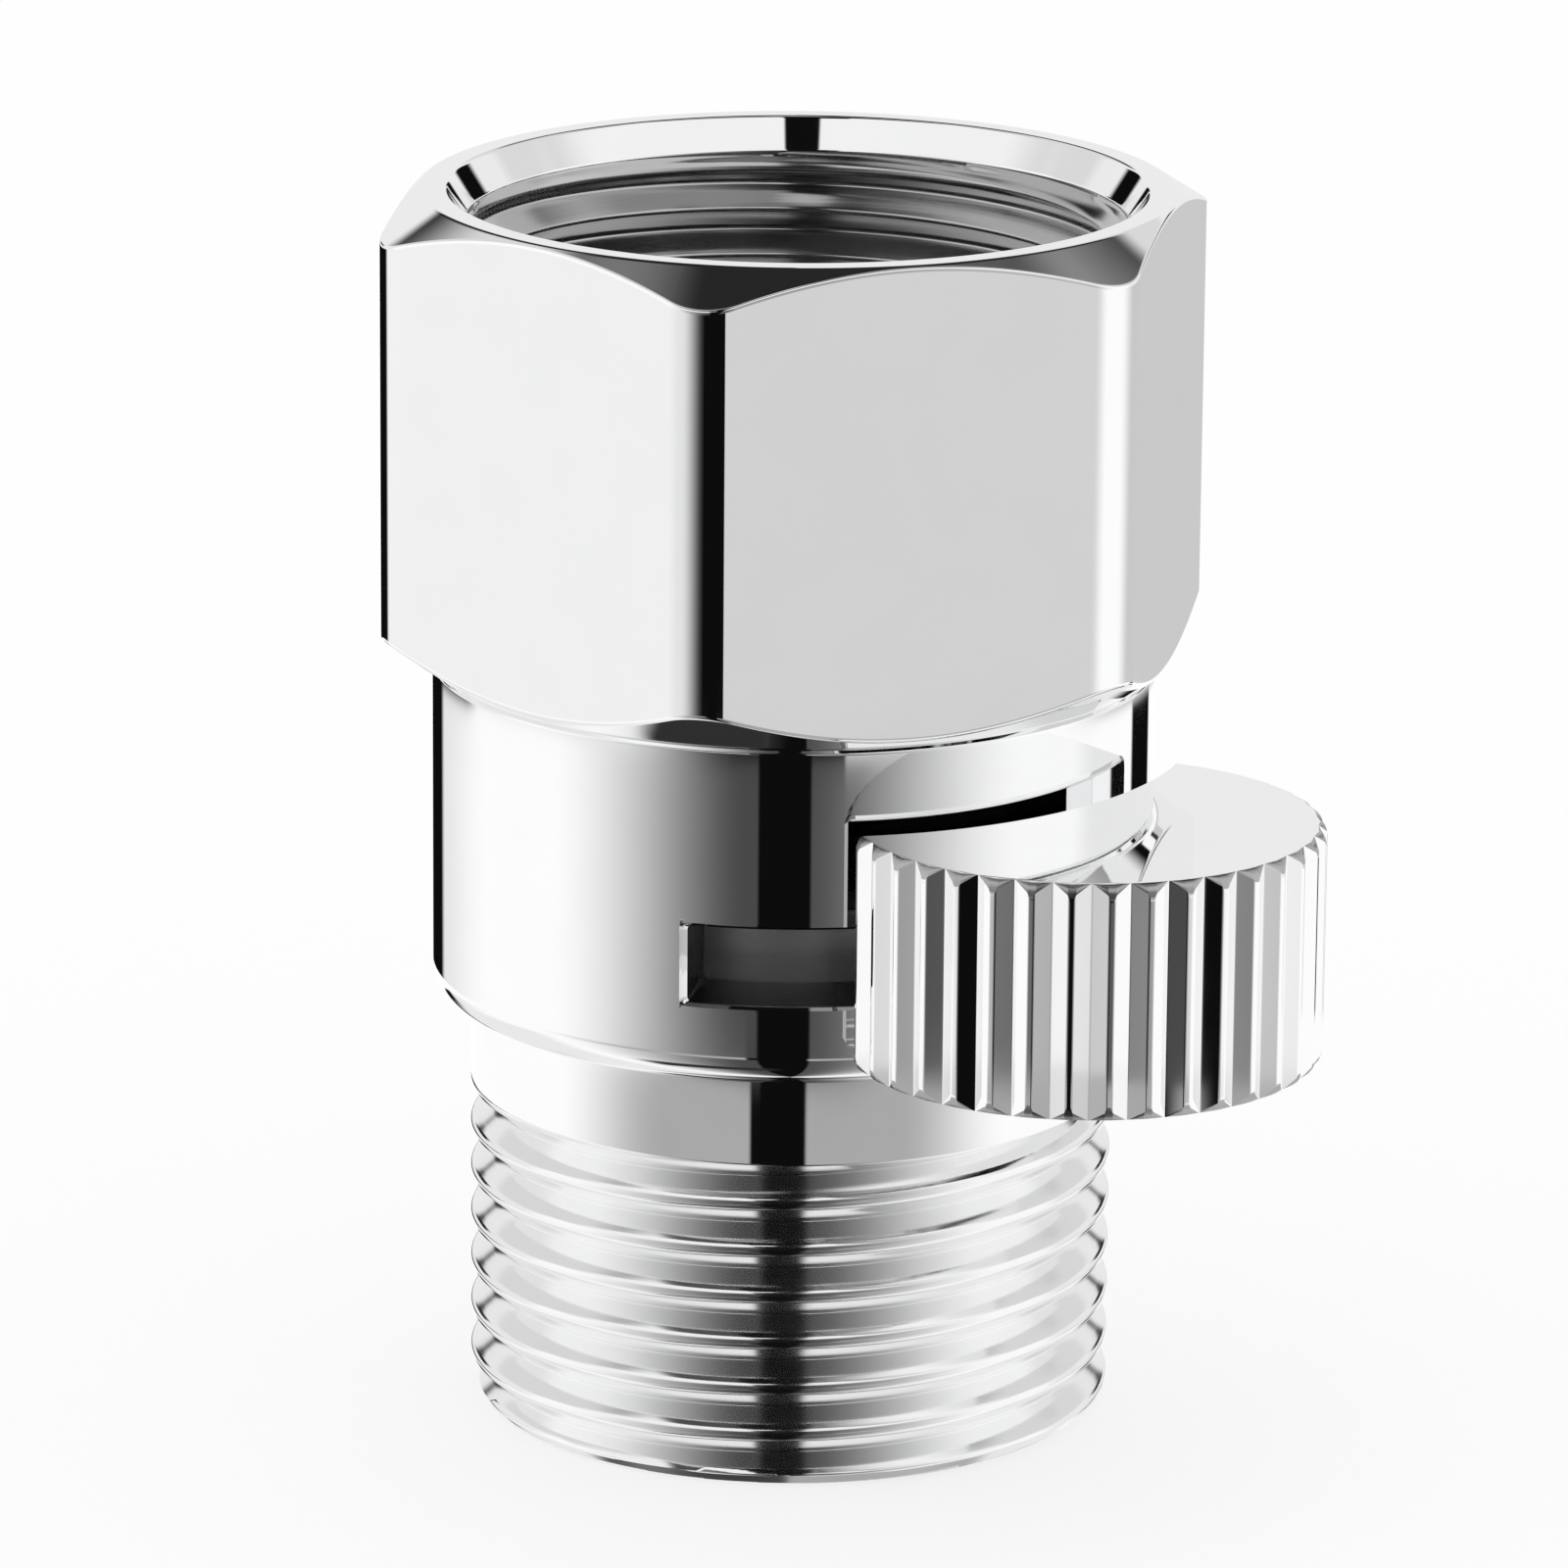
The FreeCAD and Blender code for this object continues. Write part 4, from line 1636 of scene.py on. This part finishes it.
@dataclass(frozen=True)
class Viewpoint:
    """The camera, as it was fitted to the photograph.

    Attributes:
        place: Position in millimetres.
        pitch: Angle below the horizon, in radians.
        yaw: Turn from +Y towards +X, in radians.
        roll: Turn about the line of sight, in degrees.
        focal: Focal length in pixels of the photograph.
        picture: Width and height of the photograph in pixels.
        sensor: Width of the camera's sensor, in millimetres.
        nearest: Distance in metres under which nothing shows.
        farthest: Distance in metres beyond which nothing shows.
    """

    place: tuple[float, float, float] = (0.0, -299.0, 103.877)
    pitch: float = 0.272
    yaw: float = -0.001
    roll: float = 0.45
    focal: float = 9747.61
    picture: int = 1600
    sensor: float = 36.0
    nearest: float = 0.01
    farthest: float = 20.0

    def set_up(self) -> None:
        """Makes the camera and gives it to the scene."""
        data = bpy.data.cameras.new("viewpoint")
        data.sensor_width = self.sensor
        data.sensor_fit = "HORIZONTAL"
        data.lens = self.focal / self.picture * self.sensor
        data.clip_start = self.nearest
        data.clip_end = self.farthest
        camera = bpy.data.objects.new("viewpoint", data)
        bpy.context.scene.collection.objects.link(camera)
        camera.matrix_world = self._matrix()
        bpy.context.scene.camera = camera

    def _matrix(self) -> Matrix:
        """Place and turn of the camera, in metres.

        Returns:
            The camera's matrix.
        """
        level = math.cos(self.pitch)
        ahead = Vector((math.sin(self.yaw) * level, math.cos(self.yaw) * level, -math.sin(self.pitch)))
        right = ahead.cross(Vector((0, 0, 1))).normalized()
        up = right.cross(ahead)
        turned = math.radians(self.roll)
        side = math.cos(turned) * right + math.sin(turned) * up
        top = -math.sin(turned) * right + math.cos(turned) * up
        matrix = Matrix((side, top, -ahead)).transposed().to_4x4()
        matrix.translation = Vector(self.place) * MM
        return matrix


@dataclass(frozen=True)
class BarrelPanels:
    """What the barrel mirrors: a flag ahead, and panels that brighten to both sides.

    Attributes:
        left: Azimuths between which the left panel brightens, and its two levels.
        right: The same for the right panel.
        middle: Azimuths between which the panels change over.
        far: Azimuths between which the left panel dims towards the back, and its two shares.
        flags: Start, end and softness of each flag, in degrees.
    """

    left: Fade = (-14.0, -84.0, 0.068, WHITE)
    right: Fade = (4.0, 80.0, 0.078, WHITE)
    middle: Edge = (-3.2, -2.8)
    far: Fade = (-112.0, -150.0, 1.0, 0.80)
    flags: tuple[Strip, ...] = ((-10.8, 5.8, 0.6), (-200.0, -150.5, 2.5), (137.0, 156.0, 1.2))

    def level(self, graph: Graph, azimuth: Value) -> Value:
        """Level at an azimuth.

        Args:
            graph: The world's graph.
            azimuth: Azimuth of the direction, in degrees.

        Returns:
            The level's socket.
        """
        left = graph.ramp(azimuth, *self.left)
        right = graph.ramp(azimuth, *self.right)
        side = graph.blend(graph.ramp(azimuth, *self.middle), left, right)
        level = graph.math("MULTIPLY", side, graph.ramp(azimuth, *self.far))
        return graph.flagged(azimuth, self.flags, level)


@dataclass(frozen=True)
class NutPanels:
    """What the nut mirrors: one broad flag ahead between two panels.

    Attributes:
        left: Azimuths between which the left panel brightens, and its two levels.
        left_end: Azimuths between which the left panel ends.
        gap: Level between the left panel and the flag.
        right: Azimuths between which the right panel brightens, and its two levels.
        middle: Azimuths between which the two sides change over.
        back: Azimuths between which the right panel gives way to the back.
        back_level: Level of the back.
        flags: Start, end and softness of each flag, in degrees.
    """

    left: Fade = (-60.0, -90.0, 0.80, 0.92)
    left_end: Edge = (-60.0, -20.0)
    gap: float = 0.02
    right: Fade = (37.0, 62.0, 0.665, WHITE)
    middle: Edge = (10.0, 11.0)
    back: Edge = (90.0, 126.0)
    back_level: float = 0.60
    flags: tuple[Strip, ...] = ((-20.0, 16.3, 0.7), (-200.0, -124.0, 5.0))

    def level(self, graph: Graph, azimuth: Value) -> Value:
        """Level at an azimuth.

        Args:
            graph: The world's graph.
            azimuth: Azimuth of the direction, in degrees.

        Returns:
            The level's socket.
        """
        left = graph.blend(graph.ramp(azimuth, *self.left_end), graph.ramp(azimuth, *self.left), self.gap)
        right = graph.ramp(azimuth, *self.right)
        side = graph.blend(graph.ramp(azimuth, *self.middle), left, right)
        level = graph.blend(graph.ramp(azimuth, *self.back), side, self.back_level)
        return graph.flagged(azimuth, self.flags, level)


@dataclass(frozen=True)
class NeckPanels:
    """What the neck mirrors: a plain grey screen with a narrow flag, between panels.

    Attributes:
        centre: Azimuth of the screen's middle.
        side: Degrees from the middle between which the screen brightens, and its two levels.
        flags: Start, end and softness of the flag, in degrees.
    """

    centre: float = -4.0
    side: Fade = (42.0, 88.0, 0.41, WHITE)
    flags: tuple[Strip, ...] = ((-14.3, 5.4, 0.8),)

    def level(self, graph: Graph, azimuth: Value) -> Value:
        """Level at an azimuth.

        Args:
            graph: The world's graph.
            azimuth: Azimuth of the direction, in degrees.

        Returns:
            The level's socket.
        """
        size = graph.math("ABSOLUTE", graph.math("SUBTRACT", azimuth, self.centre))
        return graph.flagged(azimuth, self.flags, graph.ramp(size, *self.side))


@dataclass(frozen=True)
class GroundPanels:
    """What faces that look down mirror: a pale ground with a dark patch behind and a mat ahead.

    Attributes:
        behind: Degrees from straight ahead between which the ground takes over from the panels.
        pale: Level of the ground.
        deep: Azimuths between which the dark patch brightens, and its two levels.
        deep_side: Degrees from straight ahead between which the dark patch starts.
        deep_fall: Rises between which it starts.
        mat_side: Start, end and softness of the mat's azimuths.
        mat_rise: Start, end and softness of its rises.
        mat: Level of the mat.
    """

    behind: Edge = (80.0, 100.0)
    pale: float = 0.85
    deep: Fade = (-14.0, -4.0, 0.05, 0.40)
    deep_side: Edge = (146.0, 156.0)
    deep_fall: Edge = (-45.0, -50.0)
    mat_side: Strip = (-64.0, -8.0, 7.0)
    mat_rise: Strip = (-60.0, -49.0, 1.5)
    mat: float = 0.03

    def level(self, graph: Graph, azimuth: Value, rise: Value, ahead: Value) -> Value:
        """Level of the ground in one direction.

        Args:
            graph: The world's graph.
            azimuth: Azimuth of the direction, in degrees.
            rise: Its angle above the horizon, in degrees.
            ahead: Level of the panels that reach down ahead.

        Returns:
            The level's socket.
        """
        size = graph.math("ABSOLUTE", azimuth)
        share = graph.math("MULTIPLY", graph.ramp(size, *self.deep_side), graph.ramp(rise, *self.deep_fall))
        ground = graph.blend(share, self.pale, graph.ramp(azimuth, *self.deep))
        return graph.blend(graph.ramp(size, *self.behind), ahead, ground)

    def mat_share(self, graph: Graph, azimuth: Value, rise: Value) -> Value:
        """Share of the dark mat in one direction."""
        side = graph.within(azimuth, *self.mat_side)
        return graph.math("MULTIPLY", side, graph.within(rise, *self.mat_rise))


@dataclass(frozen=True)
class UpperPanels:
    """What faces that look up mirror: a front, a back wall, a flag ahead and a ceiling.

    Attributes:
        left: Azimuths between which the left overhead screen brightens, and its two levels.
        right: The same for the right one.
        middle: Azimuths between which the two change over.
        back: Degrees from straight ahead between which the overhead screens end.
        dark: Level behind them, and in the ceiling's corners.
        zenith: Rises between which the lamp straight above starts.
        zenith_level: Its level.
        right_corner: Azimuths between which the ceiling's right corner darkens.
        right_rise: Rises between which it does.
        left_corner: Azimuths between which the left corner darkens.
        ceiling: Level of the ceiling.
        ceiling_end: Rises between which the ceiling gives way to the overhead screens.
        wall: Level of the back wall.
        wall_end: Rises between which the wall gives way to the ceiling.
        post_side: Start, end and softness of the two dark posts, in degrees from straight ahead.
        post_rise: Start, end and softness of their rises.
        front: Level of the front.
        front_end: Rises between which the front gives way to the seam.
        seam: Level of the seam over the front.
        seam_end: Rises between which the seam gives way to the overhead screens.
        side: Degrees from straight ahead between which the front gives way to the back.
        flag_left: Places across between which the flag ahead starts.
        flag_right: Places across between which it ends.
        flag_side: Degrees from straight ahead between which it ends.
        flag_waist: Start, end and softness of the rises at which the flag is narrower.
        flag_wide: Width that is added at its left elsewhere.
        flag_narrow: Width that is added at its left there.
    """

    left: Fade = (-82.0, -126.0, 0.07, 0.80)
    right: Fade = (50.0, 95.0, 0.26, 0.42)
    middle: Edge = (-5.0, 5.0)
    back: Edge = (118.0, 145.0)
    dark: float = 0.02
    zenith: Edge = (83.5, 86.0)
    zenith_level: float = 0.80
    right_corner: Edge = (122.0, 152.0)
    right_rise: Edge = (31.0, 36.0)
    left_corner: Edge = (-145.0, -156.0)
    ceiling: float = 0.72
    ceiling_end: Edge = (46.0, 56.0)
    wall: float = 0.86
    wall_end: Edge = (19.5, 23.0)
    post_side: Strip = (138.0, 153.0, 1.5)
    post_rise: Strip = (2.0, 13.0, 1.0)
    front: float = 0.92
    front_end: Edge = (61.0, 64.0)
    seam: float = 0.06
    seam_end: Edge = (65.0, 70.0)
    side: Edge = (85.0, 105.0)
    flag_left: Edge = (-0.072, -0.056)
    flag_right: Edge = (0.056, 0.072)
    flag_side: Edge = (90.0, 100.0)
    flag_waist: Strip = (46.0, 56.0, 1.5)
    flag_wide: float = 0.15
    flag_narrow: float = 0.035

    def level(self, graph: Graph, azimuth: Value, rise: Value) -> Value:
        """Level in one direction.

        Args:
            graph: The world's graph.
            azimuth: Azimuth of the direction, in degrees.
            rise: Its angle above the horizon, in degrees.

        Returns:
            The level's socket.
        """
        size = graph.math("ABSOLUTE", azimuth)
        overhead = self._overhead(graph, azimuth, rise, size)
        wall = self._wall(graph, azimuth, rise, overhead)
        side = graph.within(size, *self.post_side)
        post = graph.math("MULTIPLY", side, graph.within(rise, *self.post_rise))
        wall = graph.blend(post, wall, BLACK)
        seam = graph.blend(graph.ramp(rise, *self.seam_end), self.seam, overhead)
        front = graph.blend(graph.ramp(rise, *self.front_end), self.front, seam)
        level = graph.blend(graph.ramp(size, *self.side), front, wall)
        return graph.blend(self._flag(graph, azimuth, rise, size), level, BLACK)

    def _overhead(self, graph: Graph, azimuth: Value, rise: Value, size: Value) -> Value:
        """Level of the screens overhead, with the lamp straight above.

        Args:
            graph: The world's graph.
            azimuth: Azimuth of the direction, in degrees.
            rise: Its angle above the horizon, in degrees.
            size: Its distance from straight ahead, in degrees.

        Returns:
            The level's socket.
        """
        left = graph.ramp(azimuth, *self.left)
        right = graph.ramp(azimuth, *self.right)
        level = graph.blend(graph.ramp(azimuth, *self.middle), left, right)
        level = graph.blend(graph.ramp(size, *self.back), level, self.dark)
        return graph.blend(graph.ramp(rise, *self.zenith), level, self.zenith_level)

    def _wall(self, graph: Graph, azimuth: Value, rise: Value, overhead: Value) -> Value:
        """Level of the back wall, and of the ceiling over it with its dark corners.

        Args:
            graph: The world's graph.
            azimuth: Azimuth of the direction, in degrees.
            rise: Its angle above the horizon, in degrees.
            overhead: Level of the screens overhead.

        Returns:
            The level's socket.
        """
        right = graph.ramp(azimuth, *self.right_corner)
        right = graph.math("MULTIPLY", right, graph.ramp(rise, *self.right_rise))
        corners = graph.math("MAXIMUM", graph.ramp(azimuth, *self.left_corner), right)
        ceiling = graph.blend(corners, self.ceiling, self.dark)
        ceiling = graph.blend(graph.ramp(rise, *self.ceiling_end), ceiling, overhead)
        return graph.blend(graph.ramp(rise, *self.wall_end), self.wall, ceiling)

    def _flag(self, graph: Graph, azimuth: Value, rise: Value, size: Value) -> Value:
        """Share of the flag ahead, which is narrower half-way up and ends below the lamp.

        Args:
            graph: The world's graph.
            azimuth: Azimuth of the direction, in degrees.
            rise: Its angle above the horizon, in degrees.
            size: Its distance from straight ahead, in degrees.

        Returns:
            The share's socket.
        """
        sine = graph.math("SINE", graph.math("RADIANS", azimuth))
        across = graph.math("MULTIPLY", sine, graph.math("COSINE", graph.math("RADIANS", rise)))
        wider = graph.blend(graph.within(rise, *self.flag_waist), self.flag_wide, self.flag_narrow)
        share = graph.ramp(graph.math("ADD", across, wider), *self.flag_left)
        for place, end in ((across, self.flag_right), (size, self.flag_side), (rise, self.zenith)):
            share = graph.math("MULTIPLY", share, graph.ramp(place, *end, 1.0, 0.0))
        return share


@dataclass(frozen=True)
class Studio:
    """White studio with soft panels and dark flags that only polished metal shows.

    Attributes:
        level: Level of the soft light on everything that isn't mirror-like.
        view_distance: Distance of the viewpoint from the pipe axis, in millimetres.
        view_height: Its height over the floor.
        wall_radius: Radius of the upright wall whose mirrored heights are used.
        neck_top: Mirrored heights between which the neck's panels give way to the barrel's.
        nut_bottom: Mirrored heights between which the barrel's panels give way to the nut's.
        neck_end: Rises between which the neck's panels start.
        ground_end: Rises between which the ground ends.
        horizon: Rises between which the panels of the nut end.
        upper_ahead: Rises between which the upper panels start ahead.
        upper_side: Degrees from straight ahead between which they start at the horizon instead.
        floor_size: Width of the floor, in metres.
        floor_colour: Colour of the floor.
        floor_glow: Share of plain white that the camera sees in the floor.
    """

    level: float = 1.0
    view_distance: float = 299.0
    view_height: float = 103.9
    wall_radius: float = 11.7
    neck_top: Edge = (13.9, 14.15)
    nut_bottom: Edge = (24.3, 24.75)
    neck_end: Edge = (-21.9, -21.1)
    ground_end: Edge = (-30.0, -24.0)
    horizon: Edge = (-11.6, -10.4)
    upper_ahead: Edge = (27.0, 33.0)
    upper_side: Edge = (98.0, 112.0)
    floor_size: float = 6.0
    floor_colour: tuple[float, float, float] = (0.97, 0.97, 0.97)
    floor_glow: float = 0.72

    def set_up(self) -> None:
        """Makes the world and the floor."""
        self._world()
        self._floor()

    def _world(self) -> None:
        """Writes the world: plain white to the camera, soft light to the floor, panels to metal."""
        world = bpy.data.worlds.new("studio")
        bpy.context.scene.world = world
        world.use_nodes = True
        world.node_tree.nodes.clear()
        graph = Graph(world.node_tree)
        split = graph.add("ShaderNodeSeparateXYZ")
        graph.feed(split.inputs[0], graph.add("ShaderNodeTexCoord").outputs["Generated"])
        x, y, z = split.outputs
        azimuth = graph.math("DEGREES", graph.math("ARCTAN2", x, graph.math("MULTIPLY", y, -1.0)))
        rise = graph.math("ARCSINE", z)
        height = self._mirrored_height(graph, azimuth, rise)
        panels = self._panels(graph, azimuth, graph.math("DEGREES", rise), height)
        paths = graph.add("ShaderNodeLightPath")
        glossy = graph.math("MAXIMUM", paths.outputs["Is Glossy Ray"], paths.outputs["Is Transmission Ray"])
        plain = graph.blend(paths.outputs["Is Camera Ray"], self.level, 1.0)
        shine = graph.add("ShaderNodeBackground")
        shine.inputs["Color"].default_value = PURE_WHITE
        graph.feed(shine.inputs["Strength"], graph.blend(glossy, plain, panels))
        surface = graph.add("ShaderNodeOutputWorld")
        graph.feed(surface.inputs["Surface"], shine.outputs[0])

    def _mirrored_height(self, graph: Graph, azimuth: Value, rise: Value) -> Value:
        """Height on an upright wall at which the photographed view mirrors a direction.

        Args:
            graph: The world's graph.
            azimuth: Azimuth of the direction, in degrees.
            rise: Its angle above the horizon, in radians.

        Returns:
            The height's socket, in millimetres.
        """
        half = graph.math("COSINE", graph.math("RADIANS", graph.math("MULTIPLY", azimuth, 0.5)))
        reach = graph.math("SUBTRACT", self.view_distance, graph.math("MULTIPLY", half, self.wall_radius))
        fall = graph.math("TANGENT", graph.math("MULTIPLY", rise, -1.0))
        return graph.math("SUBTRACT", self.view_height, graph.math("MULTIPLY", reach, fall))

    def _panels(self, graph: Graph, azimuth: Value, rise: Value, height: Value) -> Value:
        """Level of the panels and flags in one direction.

        Args:
            graph: The world's graph.
            azimuth: Azimuth of the direction, in degrees.
            rise: Its angle above the horizon, in degrees.
            height: Height on the valve's wall that mirrors it.

        Returns:
            The level's socket.
        """
        barrel = BarrelPanels().level(graph, azimuth)
        ground = GroundPanels()
        lowest = ground.level(graph, azimuth, rise, barrel)
        level = graph.blend(graph.ramp(height, *self.neck_top), NeckPanels().level(graph, azimuth), barrel)
        level = graph.blend(graph.ramp(rise, *self.neck_end), barrel, level)
        level = graph.blend(graph.ramp(height, *self.nut_bottom), level, NutPanels().level(graph, azimuth))
        level = graph.blend(graph.ramp(rise, *self.ground_end), lowest, level)
        level = graph.blend(ground.mat_share(graph, azimuth, rise), level, ground.mat)
        level = graph.blend(graph.ramp(rise, *self.horizon), level, barrel)
        upper = graph.blend(
            graph.ramp(graph.math("ABSOLUTE", azimuth), *self.upper_side),
            graph.ramp(rise, *self.upper_ahead),
            graph.ramp(rise, *self.horizon),
        )
        return graph.blend(upper, level, UpperPanels().level(graph, azimuth, rise))

    def _floor(self) -> None:
        """Makes the pale floor, which keeps the valve's soft shadow and lets metal mirror the studio."""
        clear_selection()
        bpy.ops.mesh.primitive_plane_add(size=self.floor_size)
        floor = bpy.context.object
        floor.name = "floor"
        floor.data.materials.append(self._floor_material())

    def _floor_material(self) -> bpy.types.Material:
        """Pale cloth that glows a little to the camera and isn't there for metal or from below.

        Returns:
            The material.
        """
        material = bpy.data.materials.new("pale floor")
        material.use_nodes = True
        material.node_tree.nodes.clear()
        graph = Graph(material.node_tree)
        pale = graph.add("ShaderNodeBsdfDiffuse")
        pale.inputs["Color"].default_value = (*self.floor_colour, 1.0)
        glow = graph.add("ShaderNodeEmission")
        glow.inputs["Color"].default_value = PURE_WHITE
        paths = graph.add("ShaderNodeLightPath")
        mirrored = graph.math("MAXIMUM", paths.outputs["Is Glossy Ray"], paths.outputs["Is Transmission Ray"])
        hidden = graph.math("MAXIMUM", mirrored, graph.add("ShaderNodeNewGeometry").outputs["Backfacing"])
        clear = graph.add("ShaderNodeBsdfTransparent")
        shown = graph.mix(self.floor_glow, pale.outputs[0], glow.outputs[0])
        direct = graph.mix(paths.outputs["Is Camera Ray"], pale.outputs[0], shown)
        surface = graph.add("ShaderNodeOutputMaterial")
        graph.feed(surface.inputs["Surface"], graph.mix(hidden, direct, clear.outputs[0]))
        return material


def write_sizes() -> None:
    """Updates the view layer.
    """
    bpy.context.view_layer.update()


def main() -> None:
    """Builds the valve and its studio."""
    logging.basicConfig(level=logging.INFO, format="%(name)s: %(message)s")
    bpy.context.scene.view_settings.view_transform = "Standard"
    wardrobe = Wardrobe()
    for piece in (ValveBarrel(), InletNut(), ThumbKnob(), RotorSleeve(), InnerPieces()):
        piece.build(wardrobe)
    Viewpoint().set_up()
    Studio().set_up()
    write_sizes()


if __name__ == "__main__":
    main()
